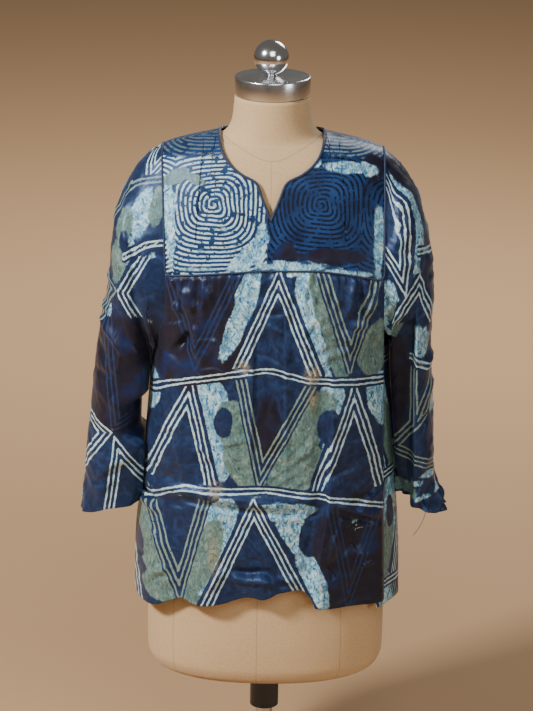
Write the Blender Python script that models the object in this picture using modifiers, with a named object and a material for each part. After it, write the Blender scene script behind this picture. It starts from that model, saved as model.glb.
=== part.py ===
# Tunic top on a limbless dress form. Metres, +Z up, the front faces -Y.
# Origin: on the floor, under the middle of the stand's round base.
import bpy
import numpy as np

# Driving sizes
CLOTH_WALL = 0.0012
CLOTH_LIFT = 0.0024
SEAM_GAP = 0.0007
SIDE_GAP = 0.0006
PIPING_RADIUS = 0.0013
BINDING_RADIUS = 0.0019
NECK_HALF_WIDTH = 0.0735
UNDERARM_HEIGHT = 0.695
YOKE_CORNER_HEIGHT = 0.8095
KNOB_SHIFT = -0.0025
CAP_RADIUS = 0.053
CAP_BOTTOM = 1.0484
CAP_TOP = 1.075
KNOB_RADIUS = 0.0245
KNOB_CENTRE = 1.1008
KNOB_STEM_RADIUS = 0.006
COLLAR_RADIUS = 0.021
COLLAR_BOTTOM = 0.1240
FORM_BOTTOM = 0.196
POLE_RADIUS = 0.012
BASE_RADIUS = 0.19
BASE_HEIGHT = 0.018
PART_GAP = 0.0004
LAP_TURN = 0.62
SEAM_TURN = 0.0036
LAP_INSET = 0.0095
SIDE_PRESS = 0.012
NECK_FAN = 0.4
ARMHOLE_STEP = 0.0007
PIPING_GAP = 0.0007
RIM_INSET = 0.0006
RIM_SIDE_END = 0.008
RIM_CORNER_RUN = 0.007
RIM_CORNER_CUT = 0.0015
CAP_EDGE = 0.004
CAP_BEVEL = 0.0012
BASE_EDGE = 0.008
BASE_BEVEL = 0.0025
# Columns of the back panel from which it is a lap, and the rows that the lap leaves out at the top
LAP_START = 39
LAP_TOP = 6

# Dress form rings: height, half breadth, front depth, back depth, squareness
FORM_RINGS = np.array([
    (0.1960, 0.1360, 0.084, 0.088, 2.3),
    (0.1990, 0.1520, 0.098, 0.102, 2.3),
    (0.2080, 0.1655, 0.108, 0.112, 2.3),
    (0.2250, 0.1720, 0.113, 0.116, 2.3),
    (0.2600, 0.1728, 0.114, 0.117, 2.3),
    (0.3000, 0.1720, 0.113, 0.117, 2.3),
    (0.3700, 0.1640, 0.109, 0.114, 2.2),
    (0.4600, 0.1400, 0.099, 0.096, 2.1),
    (0.5450, 0.1240, 0.089, 0.085, 2.1),
    (0.6200, 0.1320, 0.101, 0.090, 2.1),
    (0.7000, 0.1430, 0.115, 0.097, 2.1),
    (0.7700, 0.1500, 0.112, 0.100, 2.1),
    (0.8300, 0.1580, 0.105, 0.100, 2.1),
    (0.8800, 0.1680, 0.0945, 0.098, 2.0),
    (0.9150, 0.1730, 0.0855, 0.092, 2.0),
    (0.9400, 0.1740, 0.0770, 0.084, 2.0),
    (0.9562, 0.1680, 0.0705, 0.077, 2.0),
    (0.9672, 0.1580, 0.0650, 0.072, 2.0),
    (0.9742, 0.1440, 0.0615, 0.068, 2.0),
    (0.9802, 0.1240, 0.0585, 0.0645, 2.0),
    (0.9852, 0.1000, 0.0565, 0.062, 2.0),
    (0.9890, 0.0790, 0.0550, 0.059, 2.0),
    (0.9950, 0.0670, 0.0540, 0.057, 2.0),
    (1.0030, 0.0605, 0.0535, 0.055, 2.0),
    (1.0180, 0.0555, 0.0530, 0.0535, 2.0),
    (1.0480, 0.0525, 0.0525, 0.0525, 2.0),
])

# Cloth rings: height, left breadth, right breadth, front depth, back depth, squareness
CLOTH_RINGS = np.array([
    (0.3000, 0.1895, 0.1925, 0.1290, 0.132, 2.40),
    (0.3700, 0.1890, 0.1910, 0.1285, 0.130, 2.40),
    (0.4200, 0.1870, 0.1885, 0.1280, 0.128, 2.40),
    (0.4740, 0.1790, 0.1840, 0.1270, 0.126, 2.45),
    (0.5600, 0.1735, 0.1780, 0.1260, 0.123, 2.52),
    (0.6300, 0.1680, 0.1720, 0.1248, 0.121, 2.65),
    (0.6950, 0.1640, 0.1690, 0.1235, 0.119, 2.78),
    (0.7200, 0.1720, 0.1760, 0.1225, 0.118, 2.66),
    (0.7500, 0.1810, 0.1860, 0.1215, 0.117, 2.60),
    (0.7800, 0.1890, 0.1950, 0.1200, 0.115, 2.60),
    (0.8100, 0.1950, 0.2010, 0.1180, 0.113, 2.60),
    (0.8500, 0.1960, 0.2000, 0.1090, 0.109, 2.50),
    (0.8900, 0.1910, 0.1940, 0.0975, 0.102, 2.35),
    (0.9200, 0.1850, 0.1870, 0.0875, 0.094, 2.20),
    (0.9400, 0.1800, 0.1810, 0.0800, 0.087, 2.10),
    (0.9530, 0.1745, 0.1755, 0.0740, 0.081, 2.00),
    (0.9620, 0.1680, 0.1690, 0.0700, 0.077, 2.00),
    (0.9700, 0.1580, 0.1590, 0.0660, 0.073, 2.00),
    (0.9760, 0.1440, 0.1440, 0.0630, 0.070, 2.00),
    (0.9810, 0.1260, 0.1260, 0.0605, 0.067, 2.00),
    (0.9855, 0.1040, 0.1040, 0.0585, 0.065, 2.00),
    (0.9900, 0.0830, 0.0830, 0.0570, 0.062, 2.00),
    (0.9950, 0.0700, 0.0700, 0.0560, 0.060, 2.00),
    (1.0020, 0.0625, 0.0625, 0.0550, 0.057, 2.00),
])

# Yoke sides: height, left edge, right edge
YOKE_SIDES = np.array([
    (0.8000, -0.1435, 0.1575),
    (0.8200, -0.1462, 0.1575),
    (0.8500, -0.1485, 0.1570),
    (0.9000, -0.1515, 0.1565),
    (1.0000, -0.1520, 0.1560),
])

# Front yoke lower edge: across, height
YOKE_BOTTOM = np.array([
    (-0.1600, 0.8085),
    (-0.0970, 0.8165),
    (-0.0480, 0.8215),
    (0.0000, 0.8250),
    (0.0550, 0.8250),
    (0.0960, 0.8205),
    (0.1310, 0.8130),
    (0.1600, 0.8050),
])
BACK_YOKE_BOTTOM = 0.812

# Front neck edge: distance from the middle, height
NECK_FRONT = np.array([
    (0.0000, 0.8885),
    (0.0060, 0.9030),
    (0.0125, 0.9180),
    (0.0200, 0.9370),
    (0.0250, 0.9420),
    (0.0390, 0.9480),
    (0.0515, 0.9560),
    (0.0620, 0.9660),
    (0.0690, 0.9770),
    (0.0735, 0.9900),
])

# Back neck edge: distance from the middle, height
NECK_BACK = np.array([
    (0.0000, 0.9835),
    (0.0250, 0.9840),
    (0.0450, 0.9855),
    (0.0600, 0.9875),
    (0.0700, 0.9900),
    (0.0735, 0.9916),
])

# Where a panel's side meets the sleeve: height, share of the ring's depth
ARMHOLE = np.array([
    (0.6950, 0.00),
    (0.6975, 0.26),
    (0.7040, 0.45),
    (0.7200, 0.60),
    (0.7500, 0.71),
    (0.7800, 0.765),
    (0.8095, 0.79),
])

# Front hem: across, height
FRONT_HEM = np.array([
    (-0.2000, 0.3230),
    (-0.1820, 0.3150),
    (-0.1600, 0.3160),
    (-0.1400, 0.3260),
    (-0.1220, 0.3340),
    (-0.1000, 0.3285),
    (-0.0580, 0.3355),
    (-0.0220, 0.3460),
    (-0.0050, 0.3440),
    (0.0200, 0.3530),
    (0.0490, 0.3555),
    (0.0640, 0.3440),
    (0.0690, 0.3330),
    (0.1130, 0.3280),
    (0.1700, 0.3240),
])

# Left sleeve: outer x, outer height, inner x, inner height, front depth, back depth
SLEEVE_LEFT = np.array([
    (-0.1706, 0.9640, -0.1665, 0.6910, 0.0920, 0.0900),
    (-0.1885, 0.9450, -0.1690, 0.6860, 0.0900, 0.0880),
    (-0.2015, 0.9226, -0.1715, 0.6800, 0.0875, 0.0860),
    (-0.2128, 0.8978, -0.1740, 0.6730, 0.0850, 0.0840),
    (-0.2185, 0.8700, -0.1765, 0.6650, 0.0820, 0.0810),
    (-0.2214, 0.8400, -0.1785, 0.6550, 0.0790, 0.0780),
    (-0.2243, 0.8025, -0.1800, 0.6420, 0.0760, 0.0750),
    (-0.2315, 0.7610, -0.1810, 0.6260, 0.0730, 0.0720),
    (-0.2400, 0.7200, -0.1815, 0.6080, 0.0705, 0.0690),
    (-0.2461, 0.6830, -0.1820, 0.5880, 0.0680, 0.0665),
    (-0.2506, 0.6411, -0.1825, 0.5660, 0.0655, 0.0640),
    (-0.2551, 0.5957, -0.1830, 0.5430, 0.0630, 0.0615),
    (-0.2597, 0.5499, -0.1838, 0.5200, 0.0605, 0.0590),
    (-0.2628, 0.5115, -0.1848, 0.5000, 0.0580, 0.0570),
    (-0.2659, 0.4730, -0.1865, 0.4810, 0.0560, 0.0550),
    (-0.2705, 0.4342, -0.1885, 0.4630, 0.0540, 0.0530),
])

# Right sleeve, the same columns
SLEEVE_RIGHT = np.array([
    (0.1690, 0.9635, 0.1718, 0.6905, 0.0920, 0.0900),
    (0.1830, 0.9490, 0.1728, 0.6850, 0.0900, 0.0880),
    (0.1974, 0.9283, 0.1736, 0.6790, 0.0875, 0.0860),
    (0.2092, 0.9050, 0.1742, 0.6720, 0.0850, 0.0840),
    (0.2160, 0.8760, 0.1746, 0.6640, 0.0820, 0.0810),
    (0.2240, 0.8450, 0.1750, 0.6540, 0.0790, 0.0780),
    (0.2300, 0.8100, 0.1753, 0.6410, 0.0760, 0.0750),
    (0.2313, 0.7700, 0.1756, 0.6250, 0.0730, 0.0720),
    (0.2286, 0.7306, 0.1759, 0.6070, 0.0705, 0.0690),
    (0.2318, 0.6830, 0.1762, 0.5870, 0.0680, 0.0665),
    (0.2345, 0.6333, 0.1766, 0.5650, 0.0655, 0.0640),
    (0.2368, 0.5850, 0.1772, 0.5420, 0.0630, 0.0615),
    (0.2395, 0.5400, 0.1780, 0.5200, 0.0605, 0.0590),
    (0.2412, 0.5036, 0.1800, 0.5010, 0.0580, 0.0570),
    (0.2448, 0.4836, 0.1835, 0.4880, 0.0560, 0.0550),
    (0.2545, 0.4400, 0.1900, 0.4710, 0.0540, 0.0530),
])

# Right panel edge, the slit seen from the front: height, across
SLIT_EDGE = np.array([
    (0.3000, 0.1700),
    (0.5000, 0.1640),
    (0.7000, 0.1595),
    (0.8050, 0.1575),
])


def smooth(rows, column, at):
    """Monotone cubic curve through one column of a table, the first column being where."""
    xs = rows[:, 0]
    ys = rows[:, column]
    step = np.diff(xs)
    slope = np.diff(ys) / step
    grad = np.zeros_like(ys)
    inner = slope[:-1] * slope[1:] > 0
    lean = 2.0 * slope[:-1] * slope[1:] / np.where(inner, slope[:-1] + slope[1:], 1.0)
    grad[1:-1] = np.where(inner, lean, 0.0)
    grad[0] = slope[0]
    grad[-1] = slope[-1]
    at = np.clip(np.asarray(at, dtype=float), xs[0], xs[-1])
    k = np.clip(np.searchsorted(xs, at, side="right") - 1, 0, len(xs) - 2)
    t = (at - xs[k]) / step[k]
    low = (1 + 2 * t) * (1 - t) ** 2 * ys[k] + t * (1 - t) ** 2 * step[k] * grad[k]
    high = t * t * (3 - 2 * t) * ys[k + 1] + t * t * (t - 1) * step[k] * grad[k + 1]
    return low + high


def ease(value):
    """A soft step from 0 to 1."""
    value = np.clip(value, 0.0, 1.0)
    return value * value * (3.0 - 2.0 * value)


def bump(value, width):
    """A soft hill, 1 at the middle."""
    return np.exp(-((value / width) ** 2))


def cloth_breadth(x, z):
    """Half breadth of the cloth ring on the side where x lies."""
    share = ease((np.asarray(x) + 0.03) / 0.06)
    left = smooth(CLOTH_RINGS, 1, z)
    right = smooth(CLOTH_RINGS, 2, z)
    return left + (right - left) * share


def cloth_depth(z, back):
    """Depth of the cloth ring, to the front or to the back."""
    return smooth(CLOTH_RINGS, 4 if back else 3, z)


def ring_fill(x, y, z, back):
    """How far out a point is on the cloth ring of its height, 1 on the ring itself."""
    power = smooth(CLOTH_RINGS, 5, z)
    across = np.abs(x) / cloth_breadth(x, z)
    along = np.abs(y) / cloth_depth(z, back)
    return across ** power + along ** power


def lifted(points, back, lift):
    """Move points of the cloth rings out along the ring surface's own normal."""
    x, y, z = points[..., 0], points[..., 1], points[..., 2]
    tiny = 0.0002
    gx = ring_fill(x + tiny, y, z, back) - ring_fill(x - tiny, y, z, back)
    gy = ring_fill(x, y + tiny, z, back) - ring_fill(x, y - tiny, z, back)
    gz = ring_fill(x, y, z + tiny, back) - ring_fill(x, y, z - tiny, back)
    normal = np.stack([gx, gy, gz], axis=-1)
    normal /= np.linalg.norm(normal, axis=-1, keepdims=True)
    return points + normal * np.asarray(lift)[..., None]


def on_column(x, z, back):
    """Point of the cloth rings at a given x and height."""
    power = smooth(CLOTH_RINGS, 5, z)
    inside = np.clip(1.0 - (np.abs(x) / cloth_breadth(x, z)) ** power, 0.0, 1.0)
    y = cloth_depth(z, back) * inside ** (1.0 / power)
    return np.stack([x, y if back else -y, z], axis=-1)


def on_ring(turn, z, back):
    """Point of the cloth rings at a turn from the middle, a quarter turn being the side."""
    power = smooth(CLOTH_RINGS, 5, z)
    s, c = np.abs(np.sin(turn)), np.abs(np.cos(turn))
    out = (s ** power + c ** power) ** (-1.0 / power)
    x = np.sign(turn) * s * out
    x = x * cloth_breadth(x, z)
    y = c * out * cloth_depth(z, back) * np.where(np.abs(turn) > np.pi / 2, -1.0, 1.0)
    return np.stack([x, y if back else -y, z], axis=-1)


def turn_of_depth(share, z):
    """Turn at which the ring has this share of its depth."""
    power = smooth(CLOTH_RINGS, 5, z)
    share = np.clip(share, 0.0, 0.999)
    return np.arctan2((1.0 - share ** power) ** (1.0 / power), share)


def turn_of_x(x, z):
    """Turn at which the ring reaches this x."""
    power = smooth(CLOTH_RINGS, 5, z)
    share = np.clip(np.abs(x) / cloth_breadth(x, z), 0.0, 0.999)
    return np.sign(x) * np.arctan2(share, (1.0 - share ** power) ** (1.0 / power))


def ridge_height(x):
    """Height of the shoulder's top line at this x."""
    heights = np.linspace(0.93, 1.002, 600)
    breadths = cloth_breadth(np.full_like(heights, x), heights)
    return float(np.interp(-abs(x), -breadths, heights))


def evenly(path, count):
    """A path's points spaced again at even distances."""
    run = np.concatenate([[0.0], np.cumsum(np.linalg.norm(np.diff(path, axis=0), axis=1))])
    want = np.linspace(0.0, run[-1], count)
    return np.stack([np.interp(want, run, path[:, k]) for k in range(3)], axis=-1)


def column_path(x_top, x_low, top, low, back, count):
    """Evenly spaced points down a yoke column, from its top edge to its lower edge."""
    share = np.linspace(0.0, 1.0, 160) ** 2
    z = top - (top - low) * share
    fan = NECK_FAN if abs(x_top) < 0.09 else 1.0
    x = x_top + (x_low - x_top) * share ** fan
    path = on_column(x, z, back)
    if abs(x_top) >= NECK_HALF_WIDTH:
        path[0, 1] = 0.0
    return evenly(path, count)


def yoke_columns():
    """Column places across half the yoke: at its top edge and at its lower edge."""
    return [(0.0, 0.0), (0.0125, 0.0095), (0.020, 0.018), (0.0255, 0.025), (0.034, 0.0335),
            (0.043, 0.0415), (0.0515, 0.0495), (0.059, 0.0575), (0.0655, 0.0655), (0.070, 0.0735),
            (0.0728, 0.082), (NECK_HALF_WIDTH, 0.093), (0.087, 0.103), (0.102, 0.113),
            (0.118, 0.122), (0.136, 0.134)]


def yoke_edge(side):
    """Top and lower x of a yoke's outer edge."""
    column = 1 if side < 0 else 2
    return float(smooth(YOKE_SIDES, column, 0.98)), float(smooth(YOKE_SIDES, column, 0.81))


def yoke_grid(back, rows=11):
    """Grid of yoke points, one column of points per place across."""
    half = yoke_columns()
    places = [yoke_edge(-1)] + [(-a, -b) for a, b in reversed(half)] + half[1:] + [yoke_edge(1)]
    grid = []
    for x_top, x_low in places:
        at_ridge = abs(x_top) >= NECK_HALF_WIDTH
        if at_ridge:
            top = ridge_height(x_top)
        else:
            top = float(smooth(NECK_BACK if back else NECK_FRONT, 1, abs(x_top)))
        low = BACK_YOKE_BOTTOM if back else float(smooth(YOKE_BOTTOM, 1, x_low))
        path = column_path(x_top, x_low, top, low, back, rows)
        path = lifted(path, back, np.full(rows, CLOTH_LIFT))
        if at_ridge:
            path[0, 1] = (SEAM_GAP / 2) * (1 if back else -1)
        grid.append(path)
    return np.array(grid)


def panel_levels():
    """Row heights down a panel, closer at the gathers and at the underarm."""
    return np.array([0.8090, 0.7990, 0.7830, 0.7610, 0.7370, 0.7140, 0.6965,
                     0.6550, 0.6050, 0.5550, 0.5050, 0.4600, 0.4150, 0.3700, 0.3350])


def front_waves(x, z):
    """How far the front panel stands out: gathers, the long lapped fold, hem waves."""
    below = 0.818 - z
    gathered = ease(below / 0.016) * (1.0 - ease((below - 0.03) / 0.10))
    strong = 0.45 + 0.55 * (bump(x + 0.115, 0.04) + bump(x - 0.115, 0.05))
    gathers = 0.0021 * gathered * strong * np.sin(2 * np.pi * x / 0.0185 + 2.2 * np.sin(9 * x))
    edge = smooth(np.array([(0.33, 0.064), (0.42, 0.074), (0.50, 0.0835), (0.665, 0.0855),
                            (0.75, 0.084)]), 1, z)
    depth = 0.0075 * (1.0 - ease((z - 0.60) / 0.12))
    beyond = ease((x - edge + 0.0035) / 0.007)
    falling = beyond * np.exp(-np.maximum(x - edge, 0.0) / 0.045)
    lap = depth * (falling - 0.45 * bump(x - edge + 0.014, 0.012))
    low = 1.0 - ease((z - 0.33) / 0.22)
    hem = 0.0050 * low * np.sin(2 * np.pi * (x + 0.02) / 0.082)
    return gathers + lap + hem


def back_waves(turn, z):
    """How far the back panel stands out: gathers under the yoke and soft folds below."""
    below = 0.812 - z
    gathered = ease(below / 0.016) * (1.0 - ease((below - 0.03) / 0.10))
    gathers = 0.0020 * gathered * np.sin(turn * 46.0 + 1.5 * np.sin(5 * turn))
    low = 1.0 - ease((z - 0.33) / 0.40)
    folds = 0.0045 * low * np.sin(turn * 11.0 + 1.2 * np.sin(2.3 * turn))
    return gathers + folds * bump(turn, 1.1)


def side_turn(side, z):
    """Turn at which a panel's edge meets the sleeve: the armhole curve, up to the yoke's corner."""
    turn = turn_of_depth(smooth(ARMHOLE, 1, z), z)
    corner = np.abs(turn_of_x(yoke_edge(side)[1], z))
    return turn + (corner - turn) * ease((z - 0.75) / 0.058)


def spread(share, start, end, start_top, end_top):
    """Turns across a panel that keep to the top row's, only the outer columns reaching further."""
    middle = 2.0 * share - 1.0
    reach = np.abs(middle) ** 4
    top = start_top + (end_top - start_top) * share
    return top + np.where(middle < 0, (start - start_top) * reach, (end - end_top) * reach)


def front_panel_grid(columns=60):
    """Grid of the front panel, from the left side seam to the right slit edge."""
    levels = panel_levels()
    share = np.linspace(0.0, 1.0, columns)
    grid = np.zeros((columns, len(levels), 3))
    left_top = SEAM_TURN - side_turn(-1, levels[0])
    right_top = turn_of_x(smooth(SLIT_EDGE, 1, levels[0]), levels[0])
    for j, level in enumerate(levels):
        left = SEAM_TURN - side_turn(-1, level)
        right = turn_of_x(smooth(SLIT_EDGE, 1, level), level)
        turn = spread(share, left, right, left_top, right_top)
        x = on_ring(turn, np.full(columns, level), False)[:, 0]
        upper = ease((level - 0.70) / (levels[0] - 0.70))
        lower = 1.0 - ease((level - levels[-1]) / 0.14)
        z = level + (smooth(YOKE_BOTTOM, 1, x) - SEAM_GAP - levels[0]) * upper
        z = z + (smooth(FRONT_HEM, 1, x) - levels[-1]) * lower
        left = SEAM_TURN - side_turn(-1, z)
        right = turn_of_x(smooth(SLIT_EDGE, 1, z), z)
        turn = spread(share, left, right, left_top, right_top)
        row = on_ring(turn, z, False)
        edge_calm = ease(share / 0.05) * ease((1.0 - share) / 0.03)
        lift = CLOTH_LIFT + front_waves(row[:, 0], z) * edge_calm
        grid[:, j] = lifted(row, False, lift)
    return grid


def back_panel_grid(columns=40, lap_columns=5):
    """Grid of the back panel, from the left side seam, round the back, to the lap inside the slit."""
    levels = panel_levels()
    share = np.linspace(0.0, 1.0, columns)
    grid = np.zeros((columns + lap_columns, len(levels), 3))
    start_top = SEAM_TURN - side_turn(-1, levels[0])
    end_top = side_turn(1, levels[0]) - SEAM_TURN
    rise = BACK_YOKE_BOTTOM - SEAM_GAP - levels[0]
    for j, level in enumerate(levels):
        low = 1.0 - ease((level - levels[-1]) / 0.14)
        height = level + rise * ease((level - 0.70) / 0.109) - 0.025 * low
        start = SEAM_TURN - side_turn(-1, level)
        end = side_turn(1, level) - SEAM_TURN
        turn = spread(share, start, end, start_top, end_top)
        lap = end + (np.pi / 2 + LAP_TURN - end) * np.arange(1, lap_columns + 1) / lap_columns
        turn = np.concatenate([turn, lap])
        z = np.full(len(turn), height)
        row = on_ring(turn, z, True)
        tucked = LAP_INSET * ease((turn - 1.60) / 0.40)
        pressed = ease((0.690 - level) / 0.035) * (1.0 - ease((0.495 - level) / 0.05))
        tucked = tucked + SIDE_PRESS * pressed * bump(turn - 1.65, 0.55)
        calm = ease((turn - start) / 0.12) * ease((end - turn) / 0.25)
        lift = CLOTH_LIFT + back_waves(turn, z) * calm - tucked
        grid[:, j] = np.where((row[:, 1] < 0)[:, None], lifted(row, False, lift), lifted(row, True, lift))
    return grid


def armhole_half(side, back, low_count=6, high_count=8):
    """Half of an armhole, from the underarm past the yoke's corner to the shoulder's top line."""
    levels = np.linspace(UNDERARM_HEIGHT, YOKE_CORNER_HEIGHT, 60)
    turn = side * side_turn(side, levels)
    if side > 0 and not back:
        edge = turn_of_x(smooth(SLIT_EDGE, 1, levels) + SIDE_GAP, levels)
        turn = edge + (np.pi / 2 - edge) * (1.0 - ease((levels - UNDERARM_HEIGHT) / 0.040)) ** 1.3
    lower = on_ring(turn, levels, back)
    x_top, x_low = yoke_edge(side)
    low = BACK_YOKE_BOTTOM if back else float(smooth(YOKE_BOTTOM, 1, x_low))
    upper = column_path(x_top, x_low, ridge_height(x_top), low, back, 60)[::-1]
    path = np.concatenate([evenly(lower, low_count + 1)[:-1], evenly(upper, high_count + 1)])
    path = lifted(path, back, np.full(len(path), CLOTH_LIFT))
    path[-1, 1] = 0.0
    path[0, 1] = 0.0
    path[:, 0] += side * 2 * SIDE_GAP
    return path


def sleeve_folds(side, x, y, z):
    """How far the front of a sleeve is pushed in at its deep folds."""
    front = ease((-y - 0.012) / 0.03)
    if side < 0:
        line = smooth(np.array([(0.58, -0.1895), (0.70, -0.188), (0.80, -0.1895), (0.93, -0.192)]), 1, z)
        length = ease((z - 0.56) / 0.06) * (1.0 - ease((z - 0.88) / 0.06))
        push = 0.011 * bump(x - line, 0.0065)
    else:
        line = smooth(np.array([(0.46, 0.209), (0.60, 0.2075), (0.76, 0.205)]), 1, z)
        length = ease((z - 0.455) / 0.03) * (1.0 - ease((z - 0.70) / 0.08))
        push = 0.020 * (1.0 - ease((x - line + 0.006) / 0.010))
    return push * length * front


def sleeve_grid(side):
    """Grid of a sleeve, rings from the armhole down to the cuff, each from the underarm forward."""
    table = SLEEVE_LEFT if side < 0 else SLEEVE_RIGHT
    front = armhole_half(side, False)
    back = armhole_half(side, True)
    half = len(front) - 1
    around = 2 * half
    first = np.concatenate([front, back[::-1][1:-1]])
    turn = np.arange(around) / around * 2 * np.pi
    rings = [first]
    for k, (ox, oz, ix, iz, front_depth, back_depth) in enumerate(table):
        swing = -np.cos(turn)
        x = (ox + ix) / 2 + (ox - ix) / 2 * swing
        if k < 6:
            x = side * np.maximum(side * x, side * first[:, 0] + ARMHOLE_STEP * (k + 1))
        z = (oz + iz) / 2 + (oz - iz) / 2 * swing
        bow = np.sign(np.sin(turn)) * np.abs(np.sin(turn)) ** 0.82
        y = np.where(bow > 0, -front_depth * bow, -back_depth * bow)
        ring = np.stack([x, y, z], axis=-1)
        blend = ease((k + 1) / 6.0)
        offset = first - first.mean(axis=0)
        old_span = np.linalg.norm(first[half] - first[0])
        new_span = np.hypot(ox - ix, oz - iz)
        kept = offset * np.array([1.0, 1.0, new_span / old_span])
        kept[:, 0] = x
        kept[:, 2] += (oz + iz) / 2 - (kept[0, 2] + kept[half, 2]) / 2
        ring = kept * (1.0 - blend) + ring * blend
        ring[:, 1] += sleeve_folds(side, ring[:, 0], ring[:, 1], ring[:, 2]) * ease((k - 1) / 5.0)
        rings.append(ring)
    return np.array(rings)


def make_mesh(name, points, faces):
    """A mesh object from points and faces, in the garment's collection."""
    mesh = bpy.data.meshes.new(name)
    mesh.from_pydata([tuple(map(float, p)) for p in points], [], faces)
    mesh.update()
    thing = bpy.data.objects.new(name, mesh)
    PARTS.objects.link(thing)
    return thing


def grid_object(name, grid, closed=False, flip=False, skip=None):
    """An open sheet from a grid of points, made into a wall of cloth by Solidify."""
    rows, columns = grid.shape[0], grid.shape[1]
    points = grid.reshape(-1, 3)
    faces = []
    for i in range(rows - 1):
        for j in range(columns if closed else columns - 1):
            if skip and skip(i, j):
                continue
            k = (j + 1) % columns
            quad = [i * columns + j, i * columns + k, (i + 1) * columns + k, (i + 1) * columns + j]
            faces.append(quad[::-1] if flip else quad)
    used = sorted({corner for face in faces for corner in face})
    place = {corner: index for index, corner in enumerate(used)}
    faces = [[place[corner] for corner in face] for face in faces]
    thing = make_mesh(name, points[used], faces)
    wall = thing.modifiers.new("Wall", "SOLIDIFY")
    wall.thickness = CLOTH_WALL
    wall.offset = -1.0
    wall.use_even_offset = False
    wall.use_rim = True
    return thing


def ring_object(name, rings):
    """A closed solid from a stack of rings with flat ends."""
    count = len(rings[0])
    faces = [list(range(count))[::-1]]
    for i in range(len(rings) - 1):
        for j in range(count):
            k = (j + 1) % count
            faces.append([i * count + j, i * count + k, (i + 1) * count + k, (i + 1) * count + j])
    faces.append([(len(rings) - 1) * count + j for j in range(count)])
    return make_mesh(name, np.concatenate(rings), faces)


def turned_object(name, profile, count=28):
    """A round solid from a profile of radius and height, closed by flat ends."""
    angle = np.arange(count) / count * 2 * np.pi
    rings = []
    for radius, height in profile:
        ring = np.stack([radius * np.cos(angle), radius * np.sin(angle), np.full(count, height)], axis=-1)
        rings.append(ring)
    return ring_object(name, rings)


def form_rings(count=30):
    """Rings of the dress form's body, closer together at the shoulders."""
    turn = np.arange(count) / count * 2 * np.pi
    rings = []
    for z in FORM_RINGS[:, 0]:
        power = float(smooth(FORM_RINGS, 4, z))
        s, c = np.sin(turn), np.cos(turn)
        out = (np.abs(s) ** power + np.abs(c) ** power) ** (-1.0 / power)
        depth = np.where(s > 0, smooth(FORM_RINGS, 3, z), smooth(FORM_RINGS, 2, z))
        x = c * out * smooth(FORM_RINGS, 1, z)
        rings.append(np.stack([x, s * out * depth, np.full(count, z)], axis=-1))
    return rings


def cord_object(name, path, radius, closed=False):
    """A round cord along a path of points."""
    curve = bpy.data.curves.new(name, "CURVE")
    curve.dimensions = "3D"
    curve.bevel_depth = radius
    curve.bevel_resolution = 1
    curve.use_fill_caps = True
    line = curve.splines.new("POLY")
    line.points.add(len(path) - 1)
    for point, place in zip(line.points, path):
        point.co = (float(place[0]), float(place[1]), float(place[2]), 1.0)
    line.use_cyclic_u = closed
    thing = bpy.data.objects.new(name, curve)
    PARTS.objects.link(thing)
    return thing


def yoke_rim(back, count_side=12, count_low=16):
    """Path along a yoke's sides and lower edge, for the corded piping that lies on it."""
    lift = CLOTH_LIFT + PIPING_RADIUS + PIPING_GAP
    inset = PIPING_RADIUS + RIM_INSET
    sides = []
    for side in (-1, 1):
        x_top, x_low = yoke_edge(side)
        low = BACK_YOKE_BOTTOM if back else float(smooth(YOKE_BOTTOM, 1, x_low))
        x_top = x_top - side * inset
        x_low = x_low - side * inset
        sides.append(column_path(x_top, x_low, ridge_height(x_top), low + RIM_SIDE_END, back, count_side))
    left_x = sides[0][-1][0]
    right_x = sides[1][-1][0]
    x = np.linspace(left_x + RIM_CORNER_RUN, right_x - RIM_CORNER_RUN, count_low)
    z = np.full(count_low, BACK_YOKE_BOTTOM) if back else smooth(YOKE_BOTTOM, 1, x)
    lower = on_column(x, z + inset, back)
    corner_left = on_column(np.array([left_x + RIM_CORNER_CUT]), z[:1] + inset + RIM_CORNER_CUT, back)
    corner_right = on_column(np.array([right_x - RIM_CORNER_CUT]), z[-1:] + inset + RIM_CORNER_CUT, back)
    path = np.concatenate([sides[0], corner_left, lower, corner_right, sides[1][::-1]])
    path = lifted(path, back, np.full(len(path), lift))
    path[[0, -1], 1] = PART_GAP if back else -PART_GAP
    return path


def neck_loop():
    """Closed path of the neck binding, just inside the neck edge."""
    front_x = [top for top, low in yoke_columns() if top < NECK_HALF_WIDTH]
    back_x = front_x
    side_front = [(x, float(smooth(NECK_FRONT, 1, x)), False) for x in front_x]
    side_back = [(x, float(smooth(NECK_BACK, 1, x)), True) for x in back_x]
    shoulder = [(NECK_HALF_WIDTH, ridge_height(NECK_HALF_WIDTH), False)]
    right = side_front + shoulder + side_back[::-1]
    left = [(-x, z, back) for x, z, back in right[1:-1]][::-1]
    stops = right + left
    points = []
    for x, z, back in stops:
        point = on_column(np.array([x]), np.array([z]), back)
        points.append(lifted(point, back, np.array([CLOTH_LIFT]))[0])
    points = np.array(points)
    ahead = np.roll(points, -1, axis=0) - points
    ahead /= np.linalg.norm(ahead, axis=1, keepdims=True)
    behind = np.roll(ahead, 1, axis=0)
    along = ahead + behind
    along /= np.linalg.norm(along, axis=1, keepdims=True)
    backs = np.array([stop[2] for stop in stops])
    normals = np.array([lifted(points[i:i + 1], bool(backs[i]), np.array([1.0]))[0] - points[i]
                        for i in range(len(points))])
    inward = np.cross(normals, along)
    inward /= np.linalg.norm(inward, axis=1, keepdims=True)
    bend = np.clip(np.sum(along * ahead, axis=1), 0.4, 1.0)
    return points + inward * ((BINDING_RADIUS + PART_GAP) / bend)[:, None]


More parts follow.
